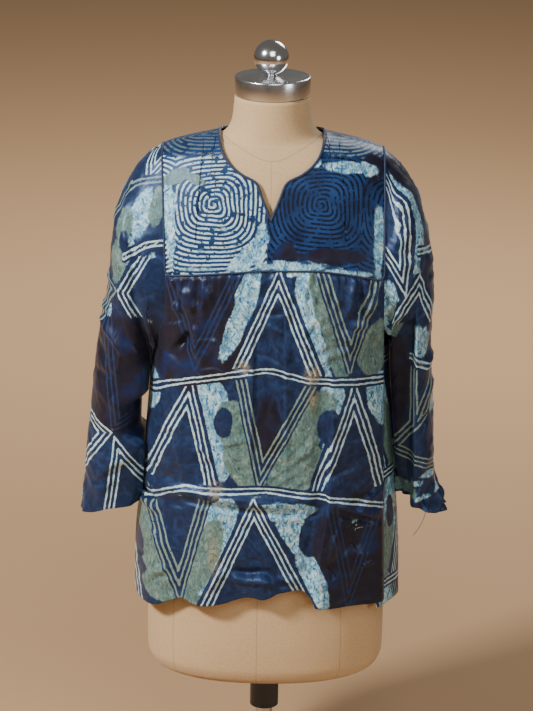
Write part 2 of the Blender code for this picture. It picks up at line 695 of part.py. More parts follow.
def material(name, colour, rough, metal=0.0):
    """A plain Principled material."""
    made = bpy.data.materials.new(name)
    made.use_nodes = True
    shader = made.node_tree.nodes["Principled BSDF"]
    shader.inputs["Base Color"].default_value = (*colour, 1.0)
    shader.inputs["Roughness"].default_value = rough
    shader.inputs["Metallic"].default_value = metal
    return made


def dress(thing, made):
    """Give an object its one material."""
    thing.data.materials.clear()
    thing.data.materials.append(made)


for old in list(bpy.data.objects):
    bpy.data.objects.remove(old, do_unlink=True)
PARTS = bpy.data.collections.new("tunic_top")
bpy.context.scene.collection.children.link(PARTS)

# Dress form and stand
form_body = ring_object("form_body", form_rings())
neck_cap = turned_object("neck_cap", [(CAP_RADIUS - 0.0005, CAP_BOTTOM), (CAP_RADIUS, CAP_BOTTOM + 0.001),
                                      (CAP_RADIUS, CAP_TOP - CAP_EDGE),
                                      (CAP_RADIUS - CAP_BEVEL, CAP_TOP - CAP_BEVEL),
                                      (CAP_RADIUS - CAP_EDGE, CAP_TOP)])
ball_turns = np.linspace(-1.32, 1.42, 9)
knob = [(KNOB_STEM_RADIUS, CAP_TOP + PART_GAP)]
knob += [(KNOB_RADIUS * np.cos(a), KNOB_CENTRE + KNOB_RADIUS * np.sin(a)) for a in ball_turns]
cap_knob = turned_object("cap_knob", knob, 18)
cap_knob.location.x = KNOB_SHIFT
stand_collar = turned_object("stand_collar", [(COLLAR_RADIUS - 0.001, COLLAR_BOTTOM),
                                              (COLLAR_RADIUS, COLLAR_BOTTOM + 0.001),
                                              (COLLAR_RADIUS, FORM_BOTTOM - 0.0014),
                                              (COLLAR_RADIUS - 0.001, FORM_BOTTOM - PART_GAP)], 20)
stand_pole = turned_object("stand_pole", [(POLE_RADIUS, BASE_HEIGHT + PART_GAP),
                                          (POLE_RADIUS, COLLAR_BOTTOM - PART_GAP)], 20)
stand_base = turned_object("stand_base", [(BASE_RADIUS - 0.002, 0.0), (BASE_RADIUS, 0.002),
                                          (BASE_RADIUS, BASE_HEIGHT - 0.006),
                                          (BASE_RADIUS - BASE_BEVEL, BASE_HEIGHT - 0.0018),
                                          (BASE_RADIUS - BASE_EDGE, BASE_HEIGHT)], 36)

# Garment
yoke_front = grid_object("yoke_front", yoke_grid(False), flip=False)
yoke_back = grid_object("yoke_back", yoke_grid(True), flip=True)
front_panel = grid_object("front_panel", front_panel_grid(), flip=False)
back_panel = grid_object("back_panel", back_panel_grid(), flip=True,
                         skip=lambda i, j: i >= LAP_START and j < LAP_TOP)
sleeve_left = grid_object("sleeve_left", sleeve_grid(-1), closed=True, flip=False)
sleeve_right = grid_object("sleeve_right", sleeve_grid(1), closed=True, flip=True)
neck_binding = cord_object("neck_binding", neck_loop(), BINDING_RADIUS, closed=True)
piping_front = cord_object("yoke_piping_front", yoke_rim(False), PIPING_RADIUS)
piping_back = cord_object("yoke_piping_back", yoke_rim(True), PIPING_RADIUS)

# Materials
FORM_CLOTH = (0.53, 0.36, 0.20)
BRIGHT_METAL = (0.72, 0.72, 0.73)
STAND_METAL = (0.10, 0.10, 0.105)
PRINTED = (0.035, 0.065, 0.13)
DARK_BLUE = (0.014, 0.035, 0.085)
dress(form_body, material("form_cover", FORM_CLOTH, 0.85))
dress(neck_cap, material("cap_metal", BRIGHT_METAL, 0.15, 1.0))
dress(cap_knob, material("knob_metal", BRIGHT_METAL, 0.12, 1.0))
dress(stand_collar, material("collar_metal", STAND_METAL, 0.4, 1.0))
dress(stand_pole, material("pole_metal", BRIGHT_METAL, 0.25, 1.0))
dress(stand_base, material("base_metal", STAND_METAL, 0.45, 1.0))
dress(yoke_front, material("yoke_front_print", PRINTED, 0.6))
dress(yoke_back, material("yoke_back_print", PRINTED, 0.6))
dress(front_panel, material("front_panel_print", PRINTED, 0.6))
dress(back_panel, material("back_panel_print", PRINTED, 0.6))
dress(sleeve_left, material("sleeve_left_print", PRINTED, 0.6))
dress(sleeve_right, material("sleeve_right_print", PRINTED, 0.6))
dress(neck_binding, material("binding_cloth", DARK_BLUE, 0.65))
dress(piping_front, material("front_piping_cloth", DARK_BLUE, 0.65))
dress(piping_back, material("back_piping_cloth", DARK_BLUE, 0.65))
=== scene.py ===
# %% [markdown]
# # A printed tunic top on a dress form
#
# A loose indigo tunic hangs on a covered dress form. Its body is gathered into a
# square yoke, the yoke is edged with corded piping, and the neck is bound. This
# script dresses the plain CAD frame with fine cloth, folds, print and sewing.

from math import radians

import bmesh
import bpy
import numpy as np
from mathutils import Matrix, Vector


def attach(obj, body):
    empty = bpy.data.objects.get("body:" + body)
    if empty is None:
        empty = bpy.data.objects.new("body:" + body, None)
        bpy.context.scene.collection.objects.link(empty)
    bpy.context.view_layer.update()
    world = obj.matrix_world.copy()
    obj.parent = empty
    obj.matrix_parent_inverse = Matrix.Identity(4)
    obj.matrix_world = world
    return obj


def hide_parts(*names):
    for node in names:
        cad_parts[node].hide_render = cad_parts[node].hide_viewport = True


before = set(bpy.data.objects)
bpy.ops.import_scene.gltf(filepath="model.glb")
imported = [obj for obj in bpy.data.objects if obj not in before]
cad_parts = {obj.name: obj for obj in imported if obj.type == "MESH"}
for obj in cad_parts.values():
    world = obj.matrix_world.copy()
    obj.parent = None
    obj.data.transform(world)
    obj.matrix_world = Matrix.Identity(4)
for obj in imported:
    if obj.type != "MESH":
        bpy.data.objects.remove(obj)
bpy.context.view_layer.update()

# %% [markdown]
# ## The shape of the draped cloth
#
# The cloth lies on a stack of rounded rings, the same rings that the solids were
# built on, so each thin shell keeps its solid's form. Every table has its columns
# named above it, and all sizes are metres.

# %% Sizes and ring tables
CLOTH = 0.0008
LIFT = 0.0024
NECK_HALF = 0.0735
UNDERARM = 0.695
YOKE_CORNER = 0.8095
BACK_YOKE_BOTTOM = 0.812
PIPING_RADIUS = 0.0013
BINDING_RADIUS = 0.0019

# Form: height, half breadth, front depth, back depth, squareness
FORM_RINGS = np.array([
    (0.1960, 0.1360, 0.084, 0.088, 2.3), (0.1990, 0.1520, 0.098, 0.102, 2.3),
    (0.2080, 0.1655, 0.108, 0.112, 2.3), (0.2250, 0.1720, 0.113, 0.116, 2.3),
    (0.2600, 0.1728, 0.114, 0.117, 2.3), (0.3000, 0.1720, 0.113, 0.117, 2.3),
    (0.3700, 0.1640, 0.109, 0.114, 2.2), (0.4600, 0.1400, 0.099, 0.096, 2.1),
    (0.5450, 0.1240, 0.089, 0.085, 2.1), (0.6200, 0.1320, 0.101, 0.090, 2.1),
    (0.7000, 0.1430, 0.115, 0.097, 2.1), (0.7700, 0.1500, 0.112, 0.100, 2.1),
    (0.8300, 0.1580, 0.105, 0.100, 2.1), (0.8800, 0.1680, 0.0945, 0.098, 2.0),
    (0.9150, 0.1730, 0.0855, 0.092, 2.0), (0.9400, 0.1740, 0.0770, 0.084, 2.0),
    (0.9562, 0.1680, 0.0705, 0.077, 2.0), (0.9672, 0.1580, 0.0650, 0.072, 2.0),
    (0.9742, 0.1440, 0.0615, 0.068, 2.0), (0.9802, 0.1240, 0.0585, 0.0645, 2.0),
    (0.9852, 0.1000, 0.0565, 0.062, 2.0), (0.9890, 0.0790, 0.0550, 0.059, 2.0),
    (0.9950, 0.0670, 0.0540, 0.057, 2.0), (1.0030, 0.0605, 0.0535, 0.055, 2.0),
    (1.0180, 0.0555, 0.0530, 0.0535, 2.0), (1.0480, 0.0525, 0.0525, 0.0525, 2.0),
])

# Cloth: height, left breadth, right breadth, front depth, back depth, squareness
CLOTH_RINGS = np.array([
    (0.3000, 0.1895, 0.1925, 0.1290, 0.132, 2.40), (0.3700, 0.1890, 0.1910, 0.1285, 0.130, 2.40),
    (0.4200, 0.1870, 0.1885, 0.1280, 0.128, 2.40), (0.4740, 0.1790, 0.1840, 0.1270, 0.126, 2.45),
    (0.5600, 0.1735, 0.1780, 0.1260, 0.123, 2.52), (0.6300, 0.1680, 0.1720, 0.1248, 0.121, 2.65),
    (0.6950, 0.1640, 0.1690, 0.1235, 0.119, 2.78), (0.7200, 0.1720, 0.1760, 0.1225, 0.118, 2.66),
    (0.7500, 0.1810, 0.1860, 0.1215, 0.117, 2.60), (0.7800, 0.1890, 0.1950, 0.1200, 0.115, 2.60),
    (0.8100, 0.1950, 0.2010, 0.1180, 0.113, 2.60), (0.8500, 0.1960, 0.2000, 0.1090, 0.109, 2.50),
    (0.8900, 0.1910, 0.1940, 0.0975, 0.102, 2.35), (0.9200, 0.1850, 0.1870, 0.0875, 0.094, 2.20),
    (0.9400, 0.1800, 0.1810, 0.0800, 0.087, 2.10), (0.9530, 0.1745, 0.1755, 0.0740, 0.081, 2.00),
    (0.9620, 0.1680, 0.1690, 0.0700, 0.077, 2.00), (0.9700, 0.1580, 0.1590, 0.0660, 0.073, 2.00),
    (0.9760, 0.1440, 0.1440, 0.0630, 0.070, 2.00), (0.9810, 0.1260, 0.1260, 0.0605, 0.067, 2.00),
    (0.9855, 0.1040, 0.1040, 0.0585, 0.065, 2.00), (0.9900, 0.0830, 0.0830, 0.0570, 0.062, 2.00),
    (0.9950, 0.0700, 0.0700, 0.0560, 0.060, 2.00), (1.0020, 0.0625, 0.0625, 0.0550, 0.057, 2.00),
])

# Yoke sides: height, left edge, right edge
YOKE_SIDES = np.array([(0.80, -0.1435, 0.1575), (0.82, -0.1462, 0.1575), (0.85, -0.1485, 0.1570),
                       (0.90, -0.1515, 0.1565), (1.00, -0.1520, 0.1560)])
# Front yoke lower edge: across, height
YOKE_BOTTOM = np.array([(-0.160, 0.8085), (-0.097, 0.8165), (-0.048, 0.8215), (0.000, 0.8250),
                        (0.055, 0.8250), (0.096, 0.8205), (0.131, 0.8130), (0.160, 0.8050)])
# Neck edges: distance from the middle, height
NECK_FRONT = np.array([(0.0, 0.8885), (0.006, 0.903), (0.0125, 0.918), (0.020, 0.937), (0.025, 0.942),
                       (0.039, 0.948), (0.0515, 0.956), (0.062, 0.966), (0.069, 0.977), (0.0735, 0.990)])
NECK_BACK = np.array([(0.0, 0.9835), (0.025, 0.984), (0.045, 0.9855), (0.060, 0.9875), (0.070, 0.99),
                      (0.0735, 0.9916)])
# Panel side at the sleeve: height, share of the ring's depth
ARMHOLE = np.array([(0.695, 0.0), (0.6975, 0.26), (0.704, 0.45), (0.72, 0.60), (0.75, 0.71), (0.78, 0.765),
                    (0.8095, 0.79)])
# Front hem: across, height
FRONT_HEM = np.array([(-0.200, 0.323), (-0.182, 0.315), (-0.160, 0.316), (-0.140, 0.326), (-0.122, 0.334),
                      (-0.100, 0.3285), (-0.058, 0.3355), (-0.022, 0.346), (-0.005, 0.344), (0.020, 0.353),
                      (0.049, 0.3555), (0.064, 0.344), (0.069, 0.333), (0.113, 0.328), (0.170, 0.324)])
# Slit edge at the right: height, across
SLIT_EDGE = np.array([(0.30, 0.170), (0.50, 0.164), (0.70, 0.1595), (0.805, 0.1575)])
# Lapped fold at the right front: height, across
FOLD_EDGE = np.array([(0.33, 0.064), (0.42, 0.074), (0.50, 0.0835), (0.665, 0.0855), (0.75, 0.084)])

# Sleeves: outer x, outer height, inner x, inner height, front depth, back depth
SLEEVE_LEFT = np.array([
    (-0.1706, 0.9640, -0.1665, 0.6910, 0.0920, 0.0900), (-0.1885, 0.9450, -0.1690, 0.6860, 0.0900, 0.0880),
    (-0.2015, 0.9226, -0.1715, 0.6800, 0.0875, 0.0860), (-0.2128, 0.8978, -0.1740, 0.6730, 0.0850, 0.0840),
    (-0.2185, 0.8700, -0.1765, 0.6650, 0.0820, 0.0810), (-0.2214, 0.8400, -0.1785, 0.6550, 0.0790, 0.0780),
    (-0.2243, 0.8025, -0.1800, 0.6420, 0.0760, 0.0750), (-0.2315, 0.7610, -0.1810, 0.6260, 0.0730, 0.0720),
    (-0.2400, 0.7200, -0.1815, 0.6080, 0.0705, 0.0690), (-0.2461, 0.6830, -0.1820, 0.5880, 0.0680, 0.0665),
    (-0.2506, 0.6411, -0.1825, 0.5660, 0.0655, 0.0640), (-0.2551, 0.5957, -0.1830, 0.5430, 0.0630, 0.0615),
    (-0.2597, 0.5499, -0.1838, 0.5200, 0.0605, 0.0590), (-0.2628, 0.5115, -0.1848, 0.5000, 0.0580, 0.0570),
    (-0.2659, 0.4730, -0.1865, 0.4810, 0.0560, 0.0550), (-0.2705, 0.4342, -0.1885, 0.4630, 0.0540, 0.0530),
])
SLEEVE_RIGHT = np.array([
    (0.1690, 0.9635, 0.1718, 0.6905, 0.0920, 0.0900), (0.1830, 0.9490, 0.1728, 0.6850, 0.0900, 0.0880),
    (0.1974, 0.9283, 0.1736, 0.6790, 0.0875, 0.0860), (0.2092, 0.9050, 0.1742, 0.6720, 0.0850, 0.0840),
    (0.2160, 0.8760, 0.1746, 0.6640, 0.0820, 0.0810), (0.2240, 0.8450, 0.1750, 0.6540, 0.0790, 0.0780),
    (0.2300, 0.8100, 0.1753, 0.6410, 0.0760, 0.0750), (0.2313, 0.7700, 0.1756, 0.6250, 0.0730, 0.0720),
    (0.2286, 0.7306, 0.1759, 0.6070, 0.0705, 0.0690), (0.2318, 0.6830, 0.1762, 0.5870, 0.0680, 0.0665),
    (0.2345, 0.6333, 0.1766, 0.5650, 0.0655, 0.0640), (0.2368, 0.5850, 0.1772, 0.5420, 0.0630, 0.0615),
    (0.2395, 0.5400, 0.1780, 0.5200, 0.0605, 0.0590), (0.2412, 0.5036, 0.1800, 0.5010, 0.0580, 0.0570),
    (0.2448, 0.4836, 0.1835, 0.4880, 0.0560, 0.0550), (0.2545, 0.4400, 0.1900, 0.4710, 0.0540, 0.0530),
])


# %% Curves and ring surface
def smooth(rows, column, at):
    """Monotone cubic curve through one column of a table, the first column being where."""
    xs, ys = rows[:, 0], rows[:, column]
    step = np.diff(xs)
    slope = np.diff(ys) / step
    grad = np.zeros_like(ys)
    inner = slope[:-1] * slope[1:] > 0
    lean = 2.0 * slope[:-1] * slope[1:] / np.where(inner, slope[:-1] + slope[1:], 1.0)
    grad[1:-1] = np.where(inner, lean, 0.0)
    grad[0], grad[-1] = slope[0], slope[-1]
    at = np.clip(np.asarray(at, dtype=float), xs[0], xs[-1])
    k = np.clip(np.searchsorted(xs, at, side="right") - 1, 0, len(xs) - 2)
    t = (at - xs[k]) / step[k]
    low = (1 + 2 * t) * (1 - t) ** 2 * ys[k] + t * (1 - t) ** 2 * step[k] * grad[k]
    high = t * t * (3 - 2 * t) * ys[k + 1] + t * t * (t - 1) * step[k] * grad[k + 1]
    return low + high


def ease(value):
    """A soft step from 0 to 1."""
    value = np.clip(value, 0.0, 1.0)
    return value * value * (3.0 - 2.0 * value)


def hill(value, width):
    """A soft hill, 1 at its middle."""
    return np.exp(-((value / width) ** 2))


def cloth_breadth(x, z):
    """Half breadth of the cloth ring on the side where x lies."""
    left, right = smooth(CLOTH_RINGS, 1, z), smooth(CLOTH_RINGS, 2, z)
    return left + (right - left) * ease((np.asarray(x) + 0.03) / 0.06)


def cloth_depth(z, back):
    """Depth of the cloth ring, to the front or to the back."""
    return smooth(CLOTH_RINGS, 4 if back else 3, z)


def ring_fill(x, y, z, back):
    """How far out a point is on the cloth ring of its height, 1 on the ring itself."""
    power = smooth(CLOTH_RINGS, 5, z)
    return (np.abs(x) / cloth_breadth(x, z)) ** power + (np.abs(y) / cloth_depth(z, back)) ** power


def lifted(points, back, lift):
    """Points of the cloth rings moved out along the ring surface's own normal."""
    x, y, z = points[..., 0], points[..., 1], points[..., 2]
    tiny = 0.0002
    gx = ring_fill(x + tiny, y, z, back) - ring_fill(x - tiny, y, z, back)
    gy = ring_fill(x, y + tiny, z, back) - ring_fill(x, y - tiny, z, back)
    gz = ring_fill(x, y, z + tiny, back) - ring_fill(x, y, z - tiny, back)
    normal = np.stack([gx, gy, gz], axis=-1)
    normal /= np.linalg.norm(normal, axis=-1, keepdims=True)
    return points + normal * np.asarray(lift)[..., None]


def on_column(x, z, back):
    """Point of the cloth rings at a given x and height."""
    power = smooth(CLOTH_RINGS, 5, z)
    inside = np.clip(1.0 - (np.abs(x) / cloth_breadth(x, z)) ** power, 0.0, 1.0)
    y = cloth_depth(z, back) * inside ** (1.0 / power)
    return np.stack([x, y if back else -y, z], axis=-1)


def on_ring(turn, z, back):
    """Point of the cloth rings at a turn from the middle, a quarter turn being the side."""
    power = smooth(CLOTH_RINGS, 5, z)
    s, c = np.abs(np.sin(turn)), np.abs(np.cos(turn))
    out = (s ** power + c ** power) ** (-1.0 / power)
    x = np.sign(turn) * s * out
    x = x * cloth_breadth(x, z)
    y = c * out * cloth_depth(z, back) * np.where(np.abs(turn) > np.pi / 2, -1.0, 1.0)
    return np.stack([x, y if back else -y, z], axis=-1)


def turn_of_depth(share, z):
    """Turn at which the ring has this share of its depth."""
    power = smooth(CLOTH_RINGS, 5, z)
    share = np.clip(share, 0.0, 0.999)
    return np.arctan2((1.0 - share ** power) ** (1.0 / power), share)


def turn_of_x(x, z):
    """Turn at which the ring reaches this x."""
    power = smooth(CLOTH_RINGS, 5, z)
    share = np.clip(np.abs(x) / cloth_breadth(x, z), 0.0, 0.999)
    return np.sign(x) * np.arctan2(share, (1.0 - share ** power) ** (1.0 / power))


def ridge_height(x):
    """Height of the shoulder's top line at this x."""
    heights = np.linspace(0.93, 1.002, 600)
    breadths = cloth_breadth(np.full_like(heights, x), heights)
    return float(np.interp(-abs(x), -breadths, heights))


def evenly(path, count):
    """A path's points spaced again at even distances."""
    run = np.concatenate([[0.0], np.cumsum(np.linalg.norm(np.diff(path, axis=0), axis=1))])
    want = np.linspace(0.0, run[-1], count)
    return np.stack([np.interp(want, run, path[:, k]) for k in range(3)], axis=-1)


def refine(grid, times, axis, closed=False):
    """A grid with more points along one axis, on smooth curves through the given ones."""
    grid = np.moveaxis(grid, axis, 0)
    count = len(grid)
    steps = count if closed else count - 1
    where = np.arange(steps * times + (0 if closed else 1)) / times
    k = np.minimum(where.astype(int), steps - 1)
    t = (where - k)[:, None, None]

    def at(i):
        return grid[i % count] if closed else grid[np.clip(i, 0, count - 1)]

    a, b, c, d = at(k - 1), at(k), at(k + 1), at(k + 2)
    made = 0.5 * (2 * b + (c - a) * t + (2 * a - 5 * b + 4 * c - d) * t * t + (3 * b - a - 3 * c + d) * t ** 3)
    return np.moveaxis(made, 0, axis)


# %% [markdown]
# ## Folds and creases
#
# Cotton that was folded in a drawer and then gathered into a yoke shows three kinds
# of relief: gathers that run down from the seam, soft drape folds, and pressed
# creases with one sharp side. Each main one is given as a short line of stops,
# with its own depth and width, so no two are alike.

# %% Fold tools
FOLD_WIDEN = 1.5


def face_out(grid, closed=False, flip=False):
    """Unit directions that point out of a grid of points."""
    down = np.gradient(grid, axis=0)
    if closed:
        around = (np.roll(grid, -1, axis=1) - np.roll(grid, 1, axis=1)) / 2
    else:
        around = np.gradient(grid, axis=1)
    normal = np.cross(down, around)
    normal /= np.maximum(np.linalg.norm(normal, axis=-1, keepdims=True), 1e-12)
    return -normal if flip else normal


def crease(u, v, stops, depth, width, sharp=0.0):
    """Height of one fold along a line of stops: depth out, or in if negative.
    With sharp at 1 the fold is steep on one side and eases away on the other."""
    stops = np.array(stops, dtype=float)
    if len(stops) > 2:
        stops = refine(stops[:, None, :], 4, 0)[:, 0]
    best = np.full(np.shape(u), 1e9)
    side = np.zeros(np.shape(u))
    run = np.zeros(np.shape(u))
    lengths = np.linalg.norm(np.diff(stops, axis=0), axis=1)
    total, before = lengths.sum(), 0.0
    for (ax, ay), (bx, by), length in zip(stops[:-1], stops[1:], lengths):
        dx, dy = (bx - ax) / length, (by - ay) / length
        along = (u - ax) * dx + (v - ay) * dy
        kept = np.clip(along, 0.0, length)
        off = np.hypot(u - ax - dx * kept, v - ay - dy * kept)
        nearer = off < best
        best = np.where(nearer, off, best)
        side = np.where(nearer, np.sign((u - ax) * dy - (v - ay) * dx), side)
        run = np.where(nearer, before + kept, run)
        before += length
    ends = ease(run / (0.3 * total)) * ease((total - run) / (0.3 * total))
    steep = np.where(side > 0, width * (1.0 - 0.6 * sharp), width * (1.0 + 0.6 * sharp))
    return depth * hill(best, steep) * ends


def creases(u, v, table):
    """All listed folds of a piece, in millimetres: stops, depth, width, sharpness."""
    total = np.zeros(np.shape(u))
    for stops, depth, width, sharp in table:
        stops = np.array(stops, dtype=float) / 1000.0
        total += crease(u, v, stops, depth / 1000.0, FOLD_WIDEN * width / 1000.0, sharp)
    return total


def gathers(across, below, places, rng, depth=0.0023):
    """Uneven pleats that run down from a seam. Places: from, to, how many."""
    total = np.zeros(np.shape(across))
    for start, end, count in places:
        for place in np.linspace(start, end, count) + rng.normal(0, 0.0022, count):
            length = rng.uniform(0.045, 0.135)
            drift = rng.normal(0.0, 0.07)
            width = rng.uniform(0.0022, 0.0052)
            line = place + drift * below + 0.0015 * np.sin(below * 90 + place * 400)
            fade = ease(below / 0.006) * (1.0 - ease((below - 0.012) / length))
            wider = width * (1.0 + 6.0 * np.maximum(below, 0.0))
            total += depth * rng.uniform(0.55, 1.25) * fade * hill(across - line, wider)
    return total


def crumple(u, v, seed, size=0.035):
    """Small uneven handling creases all over a cotton cloth, about 1 at most."""
    rng = np.random.default_rng(seed)
    bent_u = u + 0.35 * size * np.sin(v / size * 1.7 + 1.0) + 0.2 * size * np.sin((u + v) / size * 3.1)
    bent_v = v + 0.35 * size * np.sin(u / size * 1.9 + 2.0) + 0.2 * size * np.sin((u - v) / size * 2.7)
    total = np.zeros(np.shape(u))
    for octave in range(4):
        scale = size / 1.7 ** octave
        for _ in range(3):
            angle, phase = rng.uniform(0, np.pi), rng.uniform(0, 2 * np.pi)
            wave = np.sin((bent_u * np.cos(angle) + bent_v * np.sin(angle)) * 2 * np.pi / scale + phase)
            total += (1.0 - 2.0 * np.abs(wave) ** 0.8) * 0.62 ** octave / 3.0
    return total * 0.5


def strays(u, v, box, count, seed, depth=0.9):
    """Short handling creases scattered over a box: u from, u to, v from, v to."""
    rng = np.random.default_rng(seed)
    total = np.zeros(np.shape(u))
    for _ in range(count):
        cu, cv = rng.uniform(box[0], box[1]), rng.uniform(box[2], box[3])
        angle, half = rng.uniform(0, np.pi), rng.uniform(0.010, 0.038)
        bend = rng.normal(0, 0.3)
        ends = [(cu + k * half * np.cos(angle + k * bend),
                 cv + k * half * np.sin(angle + k * bend)) for k in (-1, 0, 1)]
        lift = rng.choice([-1, 1]) * rng.uniform(0.4, 1.0) * depth / 1000.0
        total += crease(u, v, ends, lift, rng.uniform(0.0028, 0.0066), rng.uniform(0, 1))
    return total


def off_the_form(points, margin=0.0012):
    """Keep cloth points outside the dress form, with a small margin."""
    z = points[..., 2]
    power = smooth(FORM_RINGS, 4, z)
    depth = np.where(points[..., 1] > 0, smooth(FORM_RINGS, 3, z), smooth(FORM_RINGS, 2, z)) + margin
    breadth = smooth(FORM_RINGS, 1, z) + margin
    reach = ((np.abs(points[..., 0]) / breadth) ** power + (np.abs(points[..., 1]) / depth) ** power) ** (1 / power)
    grow = np.maximum(1.0 / np.maximum(reach, 1e-6), 1.0)
    grow = np.where(reach > 0.6, grow, 1.0)
    return np.concatenate([points[..., :2] * grow[..., None], z[..., None]], axis=-1)


# %% [markdown]
# ## The resist print
#
# The cloth is a hand-made resist print: paste lines are laid on pale cotton, and the
# cloth is dipped in indigo, so the lines stay cream. Rows of tall triangles stand on
# double lines, each with three nested lines down its legs, and washes of pale blue,
# moss and brown fill the fields between. The script keeps the distance of every
# point of cloth to those lines, and the shader turns the distances into crisp paint.

# %% Print rules
LINE_STEP = 0.0066
ROW_HEIGHT = 0.165
ROW_PERIOD = 0.226
CREAM, MOSS, BROWN = 0.0, 1.0, 2.0


def wedge_distance(u, v, apex, one, two):
    """Signed distance to a wedge with this apex and these leg ends, negative inside."""
    apex, one, two = np.array(apex), np.array(one), np.array(two)
    inside = (one + two) / 2 - apex
    far = np.full(np.shape(u), -1e9)
    for end in (one, two):
        along = (end - apex) / np.linalg.norm(end - apex)
        normal = np.array([along[1], -along[0]])
        if normal @ inside > 0:
            normal = -normal
        far = np.maximum(far, (u - apex[0]) * normal[0] + (v - apex[1]) * normal[1])
    return far


def patch_field(u, v, patches):
    """How deep a point lies inside the nearest of some soft oval patches, in metres.
    Patches, in millimetres: across, up, half width, half height, lean."""
    best = np.full(np.shape(u), -1.0)
    for cu, cv, ru, rv, lean in patches:
        du, dv = u - cu / 1000.0, v - cv / 1000.0
        du = du - dv * lean
        norm = np.sqrt((du / (ru / 1000.0)) ** 2 + (dv / (rv / 1000.0)) ** 2)
        best = np.maximum(best, (1.0 - norm) * min(ru, rv) / 1000.0)
    return best


def print_fields(u, v, wedges, rows, washes=(), mosses=(), brown_and_painted_shade_patches=(), covers=()):
    """The distance fields that the print shader reads.
    Wedges, in millimetres: apex, leg end, leg end, lowest v, highest v, colour of line.
    Rows, in millimetres: a table of across and height, then the colour of line. A row
    ends where its table does."""
    best = np.full(np.shape(u), 1.0)
    tint = np.zeros(np.shape(u))
    for apex, one, two, low, high, colour in wedges:
        far = wedge_distance(u, v, *(np.array(p) / 1000.0 for p in (apex, one, two)))
        outside = np.maximum(low / 1000.0 - v, v - high / 1000.0)
        far = np.where(outside > 0, np.maximum(far, 0.0) + 2.0 * outside + 0.006, far)
        nearer = far < best
        best = np.where(nearer, far, best)
        tint = np.where(nearer, colour, tint)
    row, row_tint = np.full(np.shape(u), 1.0), np.zeros(np.shape(u))
    for table, colour in rows:
        table = np.array(table, dtype=float) / 1000.0
        slope = (smooth(table, 1, u + 0.001) - smooth(table, 1, u - 0.001)) / 0.002
        off = np.abs(v - smooth(table, 1, u)) / np.sqrt(1.0 + slope ** 2)
        over = np.maximum(table[0, 0] - u, u - table[-1, 0])
        off = off + np.clip(over - 0.002, 0.0, 0.004) * 6.0
        nearer = off < row
        row = np.where(nearer, off, row)
        row_tint = np.where(nearer, colour, row_tint)
    return {"legs": best / LINE_STEP, "rows": row / LINE_STEP, "tint": tint, "row_tint": row_tint,
            "wash": patch_field(u, v, washes), "moss": patch_field(u, v, mosses),
            "brown_and_painted_shade": patch_field(u, v, brown_and_painted_shade_patches), "cover": patch_field(u, v, covers)}


def repeat_print(u, v, low, high, seed, shift=0.0):
    """The same rules as an endless repeat, for the sides that the photograph hides."""
    rng = np.random.default_rng(seed)
    wedges, rows, washes, mosses, brown_and_painted_shade_patches, covers = [], [], [], [], [], []
    half = 1000 * ROW_PERIOD / 2
    wide = 52.0
    level, k = high * 1000, 0
    while level > low * 1000:
        below = level - 1000 * ROW_HEIGHT
        wobble = [rng.normal(0, 3.0) for _ in range(9)]
        rows.append(([(-600 + 150 * i, level + wobble[i]) for i in range(9)], CREAM))
        for i in range(-4, 5):
            up = 1000 * shift + i * 2 * half + (half if k % 2 else 0) + rng.normal(0, 3)
            down = up + half
            wedges.append(((up, level - 4), (up - wide, below + 4), (up + wide, below + 4), below + 4,
                           level - 4, CREAM))
            kind = (MOSS, BROWN, MOSS)[(i + k) % 3]
            wedges.append(((down, below + 6), (down - wide, level - 4), (down + wide, level - 4), below + 4,
                           level - 4, kind))
            washes.append((up - 50, level - 55, 32, 84, 0.32))
            washes.append((up + 50, level - 55, 32, 84, -0.32))
            mosses.append((down + rng.uniform(-56, -42), below + 60, 24, 60, -0.3))
            mosses.append((down + rng.uniform(42, 56), below + 55, 25, 56, 0.3))
            covers.append((up + rng.uniform(44, 56), level - 60, 13, 24, 0.0))
            covers.append((up - rng.uniform(44, 56), level - rng.uniform(30, 90), 12, 22, 0.0))
            if (i + k) % 3 == 1:
                brown_and_painted_shade_patches.append((down, (level + below) / 2, 58, 100, 0.0))
        level, k = below, k + 1
    return print_fields(u, v, wedges, rows, washes, mosses, brown_and_painted_shade_patches, covers)


def mix_fields(one, two, share):
    """Fields of one print where share is 0, of the other where it is 1."""
    return {key: np.where(share > 0.5, two[key], one[key]) for key in one}


# %% [markdown]
# ## From grids to sewn pieces
#
# Each cut piece is one open sheet with a thin wall, so its edge and its inside show
# like real cotton. Its distance fields travel with it as named attributes.

# %% Make cloth
def new_object(name, data):
    """An object of this data in the scene."""
    made = bpy.data.objects.new(name, data)
    bpy.context.scene.collection.objects.link(made)
    return made


def surface(name, grid, closed=False, flip=False, skip=None, fields=None):
    """A mesh object from a grid of points, smooth shaded, with its print fields."""
    rows, columns = grid.shape[:2]
    i, j = np.meshgrid(np.arange(rows - 1), np.arange(columns if closed else columns - 1), indexing="ij")
    i, j = i.ravel(), j.ravel()
    k = (j + 1) % columns
    faces = np.stack([i * columns + j, i * columns + k, (i + 1) * columns + k, (i + 1) * columns + j], axis=1)
    if skip is not None:
        faces = faces[~skip(i, j)]
    if flip:
        faces = faces[:, ::-1]
    used, faces = np.unique(faces, return_inverse=True)
    faces = faces.reshape(-1, 4)
    mesh = bpy.data.meshes.new(name)
    mesh.from_pydata(grid.reshape(-1, 3)[used].tolist(), [], faces.tolist())
    mesh.shade_smooth()
    for key, values in (fields or {}).items():
        layer = mesh.attributes.new(key, "FLOAT", "CORNER")
        corners = values.reshape(-1)[used][faces]
        if key == "round":
            corners = corners - np.round(corners - corners[:, :1])
        if key in ("legs", "rows"):
            # a face across which the field jumps holds no line
            jump = np.ptp(corners, axis=1) > 1.5
            corners[jump] = np.maximum(corners[jump].max(axis=1, keepdims=True), 1.0)
        layer.data.foreach_set("value", corners.reshape(-1).astype(np.float32))
    return new_object(name, mesh)


